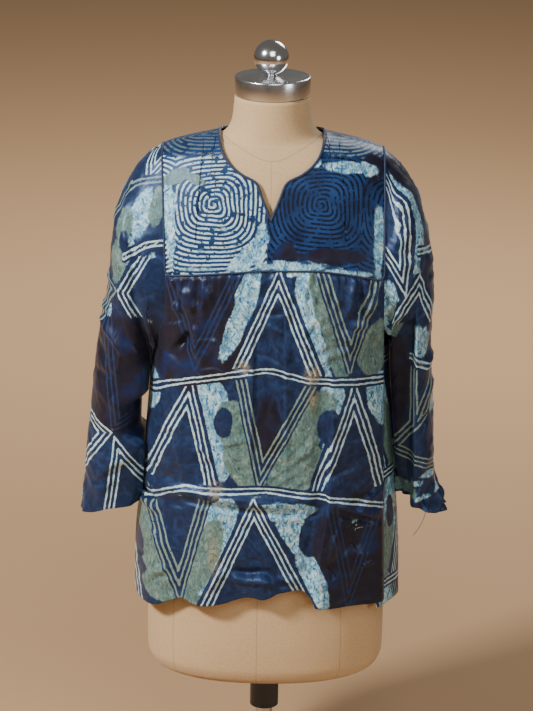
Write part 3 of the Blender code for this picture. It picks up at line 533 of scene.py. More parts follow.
def cloth_piece(name, grid, node, paint, **shape):
    """One cut piece of cloth with a thin wall, standing for its solid."""
    made = surface(name, grid, **shape)
    wall = made.modifiers.new("Wall", "SOLIDIFY")
    wall.thickness = CLOTH
    wall.offset = -1.0
    made.data.materials.append(paint)
    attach(made, "root")
    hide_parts(node)
    return made


def sheet_area(thing):
    """One-sided area of a sheet's mesh, in square metres."""
    return sum(face.area for face in thing.data.polygons)


def run_along(grid, axis, start):
    """Distance along one axis of a grid from a given index, signed."""
    steps = np.linalg.norm(np.diff(grid, axis=axis), axis=-1)
    total = np.concatenate([np.zeros_like(np.take(steps, [0], axis)), np.cumsum(steps, axis=axis)], axis=axis)
    return total - np.take(total, [start], axis)


# %% [markdown]
# ## Finishes
#
# Every colour is chosen as a screen colour and turned to linear light once. One
# small helper adds each node, with its settings and its links.

# %% Node helpers
def linear(code):
    """Linear colour, with alpha, from a screen hex code."""
    parts = [int(code[k:k + 2], 16) / 255 for k in (1, 3, 5)]
    return tuple(p / 12.92 if p <= 0.04045 else ((p + 0.055) / 1.055) ** 2.4 for p in parts) + (1.0,)


def node(tree, kind, sockets=None, **settings):
    """A new shader node. Sockets take a value or another node's output."""
    made = tree.nodes.new(kind)
    for key, value in settings.items():
        setattr(made, key, value)
    for key, value in (sockets or {}).items():
        if isinstance(value, bpy.types.NodeSocket):
            tree.links.new(value, made.inputs[key])
        else:
            made.inputs[key].default_value = value
    return made


def maths(tree, operation, *values):
    """Result of one Math node."""
    return node(tree, "ShaderNodeMath", dict(enumerate(values)), operation=operation).outputs[0]


def step_at(tree, value, edge, blur):
    """0 below an edge and 1 above it, with a soft change of this half width."""
    made = node(tree, "ShaderNodeMapRange",
                {"Value": value, "From Min": edge - blur, "From Max": edge + blur},
                interpolation_type="SMOOTHSTEP")
    return made.outputs[0]


def mixed(tree, share, one, two):
    """Colour one where share is 0 and colour two where it is 1."""
    made = node(tree, "ShaderNodeMix", {0: share, 6: one, 7: two}, data_type="RGBA")
    return made.outputs[2]


def noise(tree, where, scale, detail=3.0, rough=0.55, bend=0.0):
    """Soft noise between about 0.2 and 0.8."""
    made = node(tree, "ShaderNodeTexNoise",
                {"Vector": where, "Scale": scale, "Detail": detail, "Roughness": rough, "Distortion": bend})
    return made.outputs["Fac"]


def ramp(tree, value, *stops):
    """Colours along a value. Stops: place and hex code."""
    made = node(tree, "ShaderNodeValToRGB", {"Fac": value})
    band = made.color_ramp
    while len(band.elements) < len(stops):
        band.elements.new(1.0)
    for element, (place, code) in zip(band.elements, stops):
        element.position = place
        element.color = linear(code)
    return made.outputs["Color"]


def attribute(tree, name):
    """A named value that travels with the mesh."""
    return node(tree, "ShaderNodeAttribute", attribute_name=name).outputs["Fac"]


def new_material(name, rough, metal=0.0):
    """A Principled material with one roughness and metallic value."""
    made = bpy.data.materials.new(name)
    made.use_nodes = True
    shader = made.node_tree.nodes["Principled BSDF"]
    shader.inputs["Roughness"].default_value = rough
    shader.inputs["Metallic"].default_value = metal
    return made, made.node_tree, shader


def weave_bump(tree, shader, where, thread=0.0008, strength=0.12, also=None):
    """Plain weave as a light bump. Real threads are about 0.35 mm apart and are drawn
    coarser here, because a finer grid would only shimmer."""
    scale = 2 * np.pi / (20.0 * thread)
    bands = []
    for axis in ("X", "Z"):
        bands.append(node(tree, "ShaderNodeTexWave", {"Vector": where, "Scale": scale, "Distortion": 0.6,
                                                      "Detail": 1.0, "Detail Scale": 0.3},
                          wave_type="BANDS", bands_direction=axis).outputs["Fac"])
    height = maths(tree, "MULTIPLY", bands[0], bands[1])
    slub = noise(tree, where, 340.0, 2.0)
    height = maths(tree, "ADD", height, slub)
    if also is not None:
        height = maths(tree, "ADD", height, also)
    made = node(tree, "ShaderNodeBump", {"Strength": strength, "Distance": 0.0004, "Height": height})
    tree.links.new(made.outputs["Normal"], shader.inputs["Normal"])


# %% [markdown]
# ### The printed cotton
#
# Real stuff: a soft, slightly glossy cotton, dyed with indigo over resist paste and
# over-dyed in places with brown. Paste edges bleed and crack, so every line wobbles,
# breaks here and there, and is never one flat cream. Washes are mottled, with fine
# blue veins where the paste cracked.

# %% Printed cotton
CREAM_HEX, PALE_HEX, MOSS_LINE, BROWN_LINE = "#cbd8d2", "#9cc6d0", "#7b9084", "#202f52"


def printed_cotton(name, spiral=False, speck=False):
    """Indigo cotton whose print follows the fields of its mesh."""
    made, tree, shader = new_material(name, 0.40)
    shader.inputs["Specular IOR Level"].default_value = 0.30 if spiral else 0.52
    shader.inputs["Specular Tint"].default_value = linear("#a9c2ee")
    shader.inputs["Sheen Weight"].default_value = 0.04 if spiral else 0.12
    shader.inputs["Sheen Roughness"].default_value = 0.45
    shader.inputs["Sheen Tint"].default_value = linear("#b9c6dc")
    where = node(tree, "ShaderNodeTexCoord").outputs["Object"]
    soft = noise(tree, where, 26.0, 3.0)
    rag = noise(tree, where, 210.0, 4.0, 0.65)
    fine = noise(tree, where, 620.0, 3.0, 0.7)
    blotch = noise(tree, where, 62.0, 6.0, 0.7, 0.8)
    streak_at = node(tree, "ShaderNodeMapping", {"Vector": where, "Scale": (1.0, 1.0, 0.62)}).outputs[0]
    streak = noise(tree, streak_at, 150.0, 7.0, 0.72, 1.4)
    # where a brush ran dry
    brush = noise(tree, where, 105.0, 3.0, 0.6, 0.6)
    # how far an edge wanders, in metres
    wander = maths(tree, "MULTIPLY_ADD", soft, 0.014, -0.007)
    wander = maths(tree, "MULTIPLY_ADD", rag, 0.004, wander)
    wander = maths(tree, "SUBTRACT", wander, 0.002)
    # indigo ground, clouded, then brown over-dye, which on the sleeves' inner sides also stands for painted shade
    ground = ramp(tree, blotch, (0.28, "#121a33"), (0.50, "#1b2846"), (0.74, "#293f68"))
    brown = ramp(tree, soft, (0.36, "#191521"), (0.52, "#211b26"), (0.66, "#18244a"))
    brown_and_painted_shade = step_at(tree, maths(tree, "ADD", attribute(tree, "brown_and_painted_shade"), wander), 0.0, 0.004)
    ground = mixed(tree, brown_and_painted_shade, ground, brown)
    # pale and moss washes
    pale = ramp(tree, streak, (0.38, "#1c4470"), (0.45, "#5590b0"), (0.53, "#a3cdd4"), (0.64, "#e2ece6"))
    clouds = step_at(tree, blotch, 0.46, 0.10)
    pale = mixed(tree, maths(tree, "MULTIPLY_ADD", clouds, -0.55, 0.55), pale, linear("#4c86a8"))
    mossy = ramp(tree, streak, (0.34, "#1e3a4a"), (0.42, "#4c6a68"), (0.56, "#71887c"), (0.72, "#a2ae98"))
    mossy = mixed(tree, maths(tree, "MULTIPLY_ADD", clouds, -0.4, 0.4), mossy, linear("#4a6a68"))
    wash = step_at(tree, maths(tree, "ADD", attribute(tree, "wash"), wander), 0.0, 0.0012)
    moss = step_at(tree, maths(tree, "ADD", attribute(tree, "moss"), wander), 0.0, 0.0012)
    cover = step_at(tree, maths(tree, "ADD", attribute(tree, "cover"), wander), 0.0, 0.001)
    colour = mixed(tree, wash, ground, pale)
    colour = mixed(tree, moss, colour, mossy)
    colour = mixed(tree, cover, colour, ground)
    # lines: three down each leg, two along each row, with indigo kept around them
    shake = maths(tree, "MULTIPLY_ADD", rag, 0.34, -0.17)
    shake = maths(tree, "MULTIPLY_ADD", soft, 0.5, maths(tree, "SUBTRACT", shake, 0.25))
    worn = step_at(tree, maths(tree, "ADD", rag, maths(tree, "MULTIPLY", fine, 0.5)), 0.56, 0.10)

    # a line swells and thins along its way
    swell = maths(tree, "MULTIPLY_ADD", brush, 0.34, -0.17)

    def stripes(key, low, high, offset, width):
        value = maths(tree, "ADD", attribute(tree, key), shake)
        phase = maths(tree, "FRACT", maths(tree, "ADD", value, offset + 0.5))
        near = maths(tree, "ABSOLUTE", maths(tree, "SUBTRACT", phase, 0.5))
        near = maths(tree, "ADD", near, swell)
        ruler = maths(tree, "SUBTRACT", 1.0, step_at(tree, near, width, 0.06))
        band = maths(tree, "MULTIPLY", step_at(tree, value, low, 0.03),
                     maths(tree, "SUBTRACT", 1.0, step_at(tree, value, high, 0.03)))
        return ruler, band, value

    line_colour = mixed(tree, step_at(tree, streak, 0.5, 0.08), linear(PALE_HEX), linear(CREAM_HEX))
    for key, low, high, offset, tint_key in (("legs", -2.5, 0.5, 0.0, "tint"),
                                             ("rows", -1.0, 1.0, 0.5, "row_tint")):
        ruler, band, value = stripes(key, low, high, offset, 0.182)
        # plain ground inside a wedge and for one step outside it
        if key == "legs":
            margin = maths(tree, "MINIMUM", attribute(tree, "tint"), 1.0)
            margin = maths(tree, "MULTIPLY_ADD", margin, 0.42, value)
            quiet = maths(tree, "SUBTRACT", 1.0, step_at(tree, margin, 1.0, 0.05))
        else:
            quiet = maths(tree, "SUBTRACT", 1.0, step_at(tree, value, 1.22, 0.05))
        colour = mixed(tree, quiet, colour, ground)
        tint = attribute(tree, tint_key)
        ink = mixed(tree, step_at(tree, tint, 0.5, 0.02), line_colour, linear(MOSS_LINE))
        ink = mixed(tree, step_at(tree, tint, 1.5, 0.02), ink, linear(BROWN_LINE))
        drawn = maths(tree, "MULTIPLY", maths(tree, "MULTIPLY", ruler, band), worn)
        colour = mixed(tree, drawn, colour, ink)
    if spiral:
        value = maths(tree, "ADD", attribute(tree, "reach"), attribute(tree, "round"))
        value = maths(tree, "ADD", value, shake)
        phase = maths(tree, "FRACT", value)
        near = maths(tree, "ABSOLUTE", maths(tree, "SUBTRACT", phase, 0.5))
        ruler = maths(tree, "SUBTRACT", 1.0, step_at(tree, near, 0.21, 0.09))
        ruler = maths(tree, "MULTIPLY", ruler, step_at(tree, brush, 0.44, 0.035))
        zone = step_at(tree, maths(tree, "ADD", attribute(tree, "zone"), wander), 0.0, 0.0015)
        dark = attribute(tree, "dark")
        field = mixed(tree, dark, ramp(tree, blotch, (0.3, "#12223f"), (0.55, "#1a3358"), (0.75, "#275078")),
                      ramp(tree, soft, (0.38, "#142244"), (0.62, "#1d3a68")))
        ink = mixed(tree, dark, line_colour, linear("#0d0c14"))
        colour = mixed(tree, zone, colour, mixed(tree, ruler, field, ink))
    # old stains, yellowed and very faint
    stain = step_at(tree, attribute(tree, "stain"), 0.0, 0.006)
    stain = maths(tree, "MULTIPLY", stain, step_at(tree, rag, 0.47, 0.08))
    colour = mixed(tree, maths(tree, "MULTIPLY", stain, 0.6), colour, linear("#b3a071"))
    if speck:
        dots = maths(tree, "MULTIPLY", step_at(tree, attribute(tree, "speck"), 0.002, 0.003),
                     step_at(tree, brush, 0.55, 0.02))
        colour = mixed(tree, dots, colour, linear("#9fb9ad"))
    tree.links.new(colour, shader.inputs["Base Color"])
    weave_bump(tree, shader, where)
    return made


front_paint = printed_cotton("front_panel_print", speck=True)
back_paint = printed_cotton("back_panel_print")
yoke_front_paint = printed_cotton("yoke_front_print", spiral=True)
yoke_back_paint = printed_cotton("yoke_back_print", spiral=True)
sleeve_left_paint = printed_cotton("sleeve_left_print")
sleeve_right_paint = printed_cotton("sleeve_right_print")


# %% [markdown]
# ## The yoke
#
# The yoke is two flat pieces, front and back, joined at the shoulders and cut with a
# round neck and a notch. It carries rounded-square spirals, cream on one half and
# brown on the other, with mottled borders where the cloth's own repeat ends.

# %% Yoke pieces
def yoke_columns(times=1):
    """Column places across half the yoke: at its top edge and at its lower edge."""
    places = np.array([(0.0, 0.0), (0.0125, 0.0095), (0.020, 0.018), (0.0255, 0.025), (0.034, 0.0335),
                       (0.043, 0.0415), (0.0515, 0.0495), (0.059, 0.0575), (0.0655, 0.0655), (0.070, 0.0735),
                       (0.0728, 0.082), (NECK_HALF, 0.093), (0.087, 0.103), (0.102, 0.113),
                       (0.118, 0.122), (0.136, 0.134)])
    at = np.arange((len(places) - 1) * times + 1) / times
    return np.stack([np.interp(at, np.arange(len(places)), places[:, k]) for k in (0, 1)], axis=-1)


def yoke_edge(side):
    """Top and lower x of a yoke's outer edge."""
    column = 1 if side < 0 else 2
    return float(smooth(YOKE_SIDES, column, 0.98)), float(smooth(YOKE_SIDES, column, 0.81))


def column_path(x_top, x_low, top, low, back, count):
    """Evenly spaced points down a yoke column, from its top edge to its lower edge."""
    share = np.linspace(0.0, 1.0, 160) ** 2
    z = top - (top - low) * share
    fan = 0.4 if abs(x_top) < 0.09 else 1.0
    path = on_column(x_top + (x_low - x_top) * share ** fan, z, back)
    if abs(x_top) >= NECK_HALF - 1e-9:
        path[0, 1] = 0.0
    return evenly(path, count)


def yoke_low(x, back):
    """Height of a yoke's lower edge, with rounded corners."""
    low = BACK_YOKE_BOTTOM if back else float(smooth(YOKE_BOTTOM, 1, x))
    reach = min(x - yoke_edge(-1)[1], yoke_edge(1)[1] - x)
    corner = 0.010
    inside = np.clip(corner - reach, 0.0, corner)
    return low + corner - np.sqrt(corner ** 2 - inside ** 2)


def yoke_grid(back, rows=58, times=5):
    """Grid of yoke points, one row of the grid for each place across."""
    half = [tuple(p) for p in yoke_columns(times)]
    ends = [yoke_edge(-1), yoke_edge(1)]
    outer = []
    for side, end in zip((-1, 1), ends):
        near = np.array([side * half[-1][0], side * half[-1][1]])
        outer.append([tuple(near + (np.array(end) - near) * k / 8) for k in range(1, 9)])
    places = outer[0][::-1] + [(-a, -b) for a, b in reversed(half)] + half[1:] + outer[1]
    grid = []
    for x_top, x_low in places:
        at_ridge = abs(x_top) >= NECK_HALF - 1e-9
        top = ridge_height(x_top) if at_ridge else float(smooth(NECK_BACK if back else NECK_FRONT, 1, abs(x_top)))
        path = column_path(x_top, x_low, top, yoke_low(x_low, back), back, rows)
        path = lifted(path, back, np.full(rows, LIFT + 0.0002))
        if at_ridge:
            path[0, 1] = 0.00015 * (1 if back else -1)
        grid.append(path)
    return np.array(grid)


def spiral_fields(u, v, centres):
    """Steps out and part of a turn of the nearest rounded-square spiral, and if it is brown.
    Centres: across, up, 1 if brown."""
    best, reach = np.full(np.shape(u), 1e9), np.zeros(np.shape(u))
    turn, dark = np.zeros(np.shape(u)), np.zeros(np.shape(u))
    for cu, cv, brown in centres:
        du, dv = u - cu, v - cv
        out = (np.abs(du) ** 3.4 + np.abs(dv * 0.96) ** 3.4) ** (1 / 3.4)
        angle = np.arctan2(dv, du)
        nearer = out < best
        best = np.where(nearer, out, best)
        # hand-drawn: the turns drift a little closer and wider
        reach = np.where(nearer, out / 0.0062 + 0.22 * np.sin(3 * angle + 40 * out) * ease(out / 0.02), reach)
        turn = np.where(nearer, angle / (2 * np.pi), turn)
        dark = np.where(nearer, brown, dark)
    return reach, turn, dark


def yoke_piece(back):
    """One yoke piece with its folds and its print."""
    grid = yoke_grid(back)
    u, height = grid[..., 0], grid[..., 2]
    # up the yoke and over the shoulder, as the flat cloth runs
    v = (height - 0.812) + 0.42 * (0.119 - np.abs(grid[..., 1]))
    # soft strain lines from the neck to the armholes, and a dent beside the notch
    table = [([(-60, 955), (-95, 905), (-120, 850)], 0.8, 9, 0.4),
             ([(58, 955), (92, 900), (122, 850)], 0.8, 9, 0.4),
             ([(-12, 880), (-30, 850), (-60, 832)], 0.7, 7, 0.2),
             ([(14, 880), (40, 852), (80, 835)], 0.6, 8, 0.2),
             ([(-140, 930), (-110, 925), (-85, 940)], -0.5, 5, 0.5),
             ([(100, 960), (125, 940), (150, 935)], -0.6, 5, 0.5)]
    relief = creases(u, height, table) + 0.00030 * crumple(u, v, 3 + back, 0.045)
    relief += strays(u, v, (-0.14, 0.14, 0.02, 0.16), 16, 11 + back, 0.5)
    rim = ease(v / 0.01) * ease((0.146 - np.abs(u - 0.005)) / 0.012)
    grid = off_the_form(grid + face_out(grid, flip=back)[..., :] * (relief * rim)[..., None])
    reach, turn, dark = spiral_fields(u, v, [(-0.080, 0.113, 0.0), (0.069, 0.115, 1.0), (-0.086, 0.262, 0.78),
                                             (0.084, 0.268, 0.66), (-0.190, 0.113, 0.0), (0.186, 0.110, 1.0)])
    none = np.full(np.shape(u), -1.0)
    washes = [(-144, 112, 15, 46, 0.0), (-138, 60, 9, 60, 0.0), (-34, 32, 20, 40, 0.75),
              (-14, 52, 11, 44, 0.1),
              (30, 21, 62, 9, 0.0), (104, 14, 52, 9, 0.0), (150, 60, 10, 92, 0.0), (104, 172, 42, 14, -0.3),
              (-84, 17, 64, 6, 0.0), (-64, 76, 9, 5, 0.0), (-96, 44, 12, 5, 0.2), (60, 178, 12, 10, 0.0)]
    mosses = [(-132, 158, 20, 17, 0.6), (-106, 152, 14, 12, -0.8)]
    brown_and_painted_shade_patches = [(20, 34, 20, 30, 0.0), (84, 38, 60, 15, 0.0), (140, 176, 20, 26, 0.0)]
    fields = print_fields(u, v, [], [], washes, mosses, brown_and_painted_shade_patches)
    fields["zone"] = 0.003 - np.maximum(np.maximum(fields["wash"], fields["moss"]), fields["brown_and_painted_shade"])
    fields["legs"], fields["rows"] = none * -9, none * -9
    fields["reach"], fields["round"], fields["dark"] = reach, turn, dark
    fields["stain"] = none
    name = "yoke_back" if back else "yoke_front"
    return cloth_piece(name + "_cloth", grid, name, yoke_back_paint if back else yoke_front_paint,
                       flip=back, fields=fields)


yoke_front = yoke_piece(False)
yoke_back = yoke_piece(True)
print("yoke areas", round(sheet_area(yoke_front), 4), round(sheet_area(yoke_back), 4))

# %% [markdown]
# ## The front panel
#
# A wide rectangle is gathered into the yoke. It hangs from the gathers, laps over
# itself in one long fold at the right, keeps two pressed creases down the middle
# from when it lay folded, and bulges in a soft line across at hip height.

# %% Front panel shape
FOLD_GAIN = 2.6

FRONT_CREASES = [
    # pressed creases down the middle
    ([(22, 818), (23, 720), (24, 640), (25, 560), (25, 505)], 1.6, 3.0, 1.0),
    ([(-24, 800), (-22, 720), (-22, 640), (-23, 560), (-24, 505)], 1.3, 3.0, -1.0),
    # the deep diagonal tuck and its neighbours at the left
    ([(-106, 742), (-122, 716), (-144, 692)], -4.2, 4.5, 0.6),
    ([(-100, 752), (-104, 730), (-98, 706), (-90, 684)], 2.4, 5.0, 0.5),
    ([(-172, 752), (-140, 765), (-110, 768)], 2.0, 4.0, 0.7),
    ([(-168, 738), (-135, 746), (-112, 758)], -1.4, 3.5, 0.4),
    ([(-120, 800), (-114, 778), (-104, 760)], 2.2, 4.5, 0.4),
    ([(-84, 806), (-88, 784), (-98, 764)], 2.0, 4.0, 0.4),
    ([(-76, 730), (-66, 706), (-62, 682)], 1.2, 4.0, 0.2),
    # small cross creases at the middle
    ([(-14, 770), (4, 764), (22, 768)], -1.1, 2.6, 0.6),
    ([(-8, 752), (8, 742), (21, 734)], 1.3, 2.8, 0.6),
    ([(-24, 786), (-34, 776), (-36, 756)], 1.2, 3.0, 0.3),
    # the right side under the yoke's corner
    ([(104, 806), (110, 782), (106, 758)], 2.0, 4.0, 0.5),
    ([(122, 802), (118, 782), (128, 766)], -2.0, 3.6, 0.5),
    ([(136, 802), (140, 778), (132, 756)], 2.2, 4.2, 0.5),
    ([(108, 772), (122, 764), (136, 770)], -1.5, 3.0, 0.6),
    ([(112, 752), (126, 742), (142, 744)], 1.7, 3.4, 0.5),
    ([(128, 738), (146, 730), (158, 732)], 1.5, 3.4, 0.6),
    ([(96, 736), (112, 722), (120, 704)], 1.2, 3.6, 0.3),
    ([(140, 724), (146, 700), (142, 678)], -1.2, 4.0, 0.3),
    # the bulge across at hip height, and its shaded underside
    ([(-172, 486), (-120, 500), (-70, 496), (-10, 490), (50, 492), (84, 496)], 3.4, 8.0, -0.6),
    ([(-160, 474), (-110, 484), (-60, 478), (0, 474), (64, 474)], -2.4, 5.0, 0.5),
    ([(84, 488), (112, 476), (140, 462), (164, 450)], 2.2, 4.5, 0.9),
    ([(88, 478), (112, 466), (140, 454), (160, 444)], -1.5, 4.0, 0.3),
    # wrinkles over the hem
    ([(-56, 388), (-30, 382), (0, 384), (14, 368)], -2.8, 4.0, 0.6),
    ([(-60, 378), (-30, 370), (-4, 372), (10, 356)], 2.6, 4.5, 0.4),
    ([(16, 382), (30, 372), (48, 364)], 1.8, 4.0, 0.5),
    ([(-52, 396), (-70, 372), (-86, 348)], 1.8, 4.0, 0.5),
    ([(88, 446), (90, 422), (86, 398)], 1.7, 3.4, 0.5),
    ([(84, 404), (92, 390), (90, 372)], -1.5, 3.2, 0.5),
    ([(104, 420), (118, 386), (116, 352)], 1.2, 6.0, 0.3),
    ([(-124, 566), (-123, 548), (-125, 532)], 1.0, 2.2, 0.5),
    ([(-184, 470), (-168, 474), (-156, 466)], -2.0, 3.5, 0.6),
    ([(-186, 456), (-170, 462), (-150, 456)], 2.0, 4.0, 0.5),
    # long soft drape folds
    ([(-130, 660), (-138, 580), (-132, 510)], 1.6, 14.0, 0.2),
    ([(-60, 640), (-52, 570), (-58, 520)], 1.2, 12.0, 0.2),
    ([(60, 780), (56, 700), (58, 620)], 1.4, 12.0, 0.2),
    ([(140, 650), (136, 590), (142, 520)], 1.2, 12.0, 0.2),
    ([(-150, 440), (-146, 390), (-152, 340)], 2.0, 12.0, 0.2),
    ([(-34, 460), (-40, 410), (-34, 360)], 1.4, 12.0, 0.2),
]


def side_turn(side, z):
    """Turn at which a panel's edge meets the sleeve."""
    turn = turn_of_depth(smooth(ARMHOLE, 1, z), z)
    corner = np.abs(turn_of_x(yoke_edge(side)[1], z))
    return turn + (corner - turn) * ease((z - 0.75) / 0.058)


def spread(share, start, end, start_top, end_top):
    """Turns across a panel that keep to the top row's, only the outer columns reaching further."""
    middle = 2.0 * share - 1.0
    reach = np.abs(middle) ** 4
    top = start_top + (end_top - start_top) * share
    return top + np.where(middle < 0, (start - start_top) * reach, (end - end_top) * reach)


def front_panel_rows(levels, columns):
    """Points of the front panel on the rings, before any folds."""
    share = np.linspace(0.0, 1.0, columns)
    top, foot = 0.8090, 0.3350
    ends = (-side_turn(-1, top), turn_of_x(smooth(SLIT_EDGE, 1, top), top))
    rows = []
    for level in levels:
        turn = spread(share, -side_turn(-1, level), turn_of_x(smooth(SLIT_EDGE, 1, level), level), *ends)
        x = on_ring(turn, np.full(columns, level), False)[:, 0]
        upper, lower = ease((level - 0.70) / (top - 0.70)), 1.0 - ease((level - foot) / 0.14)
        z = level + (smooth(YOKE_BOTTOM, 1, x) - top) * upper + (smooth(FRONT_HEM, 1, x) - foot) * lower
        turn = spread(share, -side_turn(-1, z), turn_of_x(smooth(SLIT_EDGE, 1, z), z), *ends)
        rows.append(on_ring(turn, z, False))
    return np.array(rows)


def lapped_fold(x, z):
    """The long fold at the right: a steep edge, then cloth that falls slowly back."""
    edge = smooth(FOLD_EDGE, 1, z)
    depth = 0.0105 * (1.0 - ease((z - 0.60) / 0.12))
    beyond = ease((x - edge + 0.0016) / 0.0032)
    return depth * (beyond * np.exp(-np.maximum(x - edge, 0.0) / 0.045) - 0.45 * hill(x - edge + 0.012, 0.010))


levels = np.concatenate([[0.8090 + 0.0065], np.linspace(0.8090, 0.3350, 232)])
grid = front_panel_rows(np.minimum(levels, 0.8090), 208)
x, z = grid[..., 0], grid[..., 2]
below = smooth(YOKE_BOTTOM, 1, x) - z
rng = np.random.default_rng(7)
relief = gathers(x, below, [(-0.142, -0.078, 15), (-0.070, 0.045, 9), (0.050, 0.155, 22)], rng)
relief += FOLD_GAIN * creases(x, z, FRONT_CREASES) + lapped_fold(x, z)
relief += 0.0040 * (1.0 - ease((z - 0.33) / 0.22)) * np.sin(2 * np.pi * (x + 0.02) / 0.082)
relief += 0.0015 * crumple(x, z, 21, 0.062) + strays(x, z, (-0.17, 0.16, 0.36, 0.80), 110, 5, 2.6)
across = np.linspace(0.0, 1.0, grid.shape[1])[None, :]
# calm beside the sleeve, where there is no room for folds
beside = ease((z - 0.50) / 0.06) * (1.0 - ease((z - 0.70) / 0.03))
calm = ease(across / (0.05 + 0.12 * beside)) * ease((1.0 - across) / 0.02)
grid = lifted(grid, False, LIFT + relief * calm)
# the top row turns up under the yoke, as a seam allowance
grid[0] = grid[1] + np.array([0.0, 0.0022, 0.0065])
grid = off_the_form(grid)

# %% [markdown]
# Where each triangle, row line and patch sits was judged from the photograph
# and is written in millimetres across and up the cloth.

# %% Front panel print
FRONT_WEDGES = [
    ((12, 830), (-50, 684), (73, 674), 676, 840, CREAM),
                ((-103, 676), (-146, 815), (-41, 818), 676, 840, BROWN),
    ((112, 676), (66, 822), (154, 812), 676, 840, MOSS),
                ((-109, 668), (-182, 497), (-70, 500), 505, 672, CREAM),
    ((-12, 512), (-46, 676), (69, 668), 505, 676, MOSS), ((118, 664), (60, 496), (167, 498), 500, 664, CREAM),
    ((-124, 330), (-176, 492), (-80, 494), 300, 492, MOSS),
                ((-19, 498), (-90, 330), (66, 332), 300, 498, CREAM),
    ((117, 318), (82, 484), (166, 488), 300, 486, BROWN),
                ((-214, 500), (-230, 310), (-176, 322), 300, 492, CREAM),
]
FRONT_ROWS = [
    ([(-230, 604), (-166, 634), (-140, 652), (-100, 666), (-33, 680), (0, 684), (22, 679), (58, 670),
      (100, 666),
      (140, 661), (170, 652)], CREAM),
    ([(-230, 452), (-166, 478), (-135, 496), (-109, 505), (-55, 505), (-3, 508), (40, 502), (89, 495),
      (120, 487),
      (150, 476), (170, 466)], CREAM),
]
FRONT_WASHES = [
    (-30, 800, 17, 40, 0.2), (-44, 752, 14, 52, 0.34), (54, 786, 16, 48, -0.2), (64, 724, 12, 58, -0.32),
    (-176, 630, 26, 36, 0.2), (-182, 590, 12, 54, 0.3), (-84, 640, 30, 34, -0.15), (-72, 588, 12, 60, -0.16),
    (-64, 552, 14, 34, 0.0), (88, 644, 16, 24, 0.0), (90, 560, 13, 40, 0.0), (158, 632, 22, 42, -0.2),
    (-66, 452, 24, 48, 0.2), (-74, 398, 14, 60, 0.2), (22, 478, 46, 13, 0.0), (40, 444, 20, 44, -0.4),
    (62, 384, 15, 56, -0.36), (-196, 430, 20, 66, 0.0), (-84, 352, 14, 30, 0.2), (-176, 800, 30, 40, 0.3),
    (-208, 600, 20, 60, 0.0), (30, 826, 30, 8, 0.0), (-128, 478, 16, 13, 0.0),
]
FRONT_MOSSES = [
    (84, 762, 19, 78, -0.30), (98, 702, 17, 34, -0.20), (148, 706, 25, 42, 0.1), (-44, 596, 28, 46, -0.2),
    (-34, 548, 26, 50, -0.3), (56, 596, 26, 58, 0.4), (40, 540, 36, 40, 0.3), (-168, 412, 22, 62, -0.3),
    (-90, 402, 22, 62, 0.30), (-110, 334, 52, 14, 0.0), (-150, 350, 26, 24, 0.0),
]
FRONT_NIGHTS = [(-108, 742, 76, 98, 0.0), (-60, 760, 24, 60, 0.3), (124, 402, 60, 102, 0.0),
                (0, 598, 20, 50, 0.0)]
FRONT_COVERS = [(-186, 600, 14, 24, 0.0), (-62, 606, 13, 24, 0.0), (84, 600, 15, 26, 0.0),
                (-186, 398, 13, 26, 0.0),
                (62, 434, 15, 28, 0.0), (-112, 446, 10, 20, 0.0)]

fields = print_fields(x, z, FRONT_WEDGES, FRONT_ROWS, FRONT_WASHES, FRONT_MOSSES, FRONT_NIGHTS, FRONT_COVERS)
fields["stain"] = patch_field(x, z, [(60, 678, 9, 13, 0.0), (-37, 688, 9, 9, 0.0), (-72, 506, 8, 11, 0.0),
                                     (-74, 412, 6, 24, 0.0), (62, 640, 5, 12, 0.0)])
fields["speck"] = patch_field(x, z, [(122, 452, 11, 7, 0.2), (128, 446, 9, 6, 0.0)])
front_panel = cloth_piece("front_panel_cloth", grid.transpose(1, 0, 2), "front_panel", front_paint,
                          fields={key: value.T for key, value in fields.items()})
front_edge_grid = grid
print("front panel area", round(sheet_area(front_panel), 4))

# %% [markdown]
# ## The back panel
#
# The same rectangle again, gathered under a straight back yoke. It wraps round the
# right side and shows as a dark strip behind the open slit. What the photograph hides
# is made by the same rules, with a repeat of the print.

# %% Back panel
BACK_CREASES = [
    ([(-90, 800), (-84, 760), (-92, 716)], 2.2, 6.0, 0.4), ([(80, 802), (88, 752), (76, 704)], 2.4, 6.0, 0.4),
    ([(-20, 800), (-24, 740), (-16, 670)], 1.8, 7.0, 0.3), ([(30, 798), (38, 748), (30, 690)], 1.7, 6.0, 0.3),
    ([(-150, 690), (-110, 660), (-70, 652)], 2.6, 8.0, 0.5),
                ([(150, 688), (112, 652), (66, 640)], 2.6, 8.0, 0.5),
    ([(-140, 640), (-96, 610), (-50, 606)], 2.0, 8.0, 0.4),
                ([(138, 632), (90, 596), (46, 590)], 2.2, 8.0, 0.4),
    ([(-160, 500), (-80, 512), (0, 502), (70, 510), (160, 498)], 2.6, 9.0, 0.5),
    ([(-120, 480), (-112, 410), (-120, 330)], 2.6, 12.0, 0.3),
                ([(-40, 500), (-34, 410), (-44, 320)], 2.8, 13.0, 0.3),
    ([(44, 500), (36, 400), (46, 320)], 2.6, 12.0, 0.3),
                ([(124, 480), (116, 400), (126, 320)], 2.6, 12.0, 0.3),
    ([(2, 810), (2, 660), (0, 520)], 1.2, 3.0, 1.0), ([(-70, 420), (-40, 400), (-14, 404)], -1.8, 4.0, 0.5),
    ([(60, 444), (84, 428), (112, 434)], 1.7, 4.0, 0.6),
                ([(-100, 560), (-76, 552), (-60, 536)], -1.4, 3.6, 0.6),
]


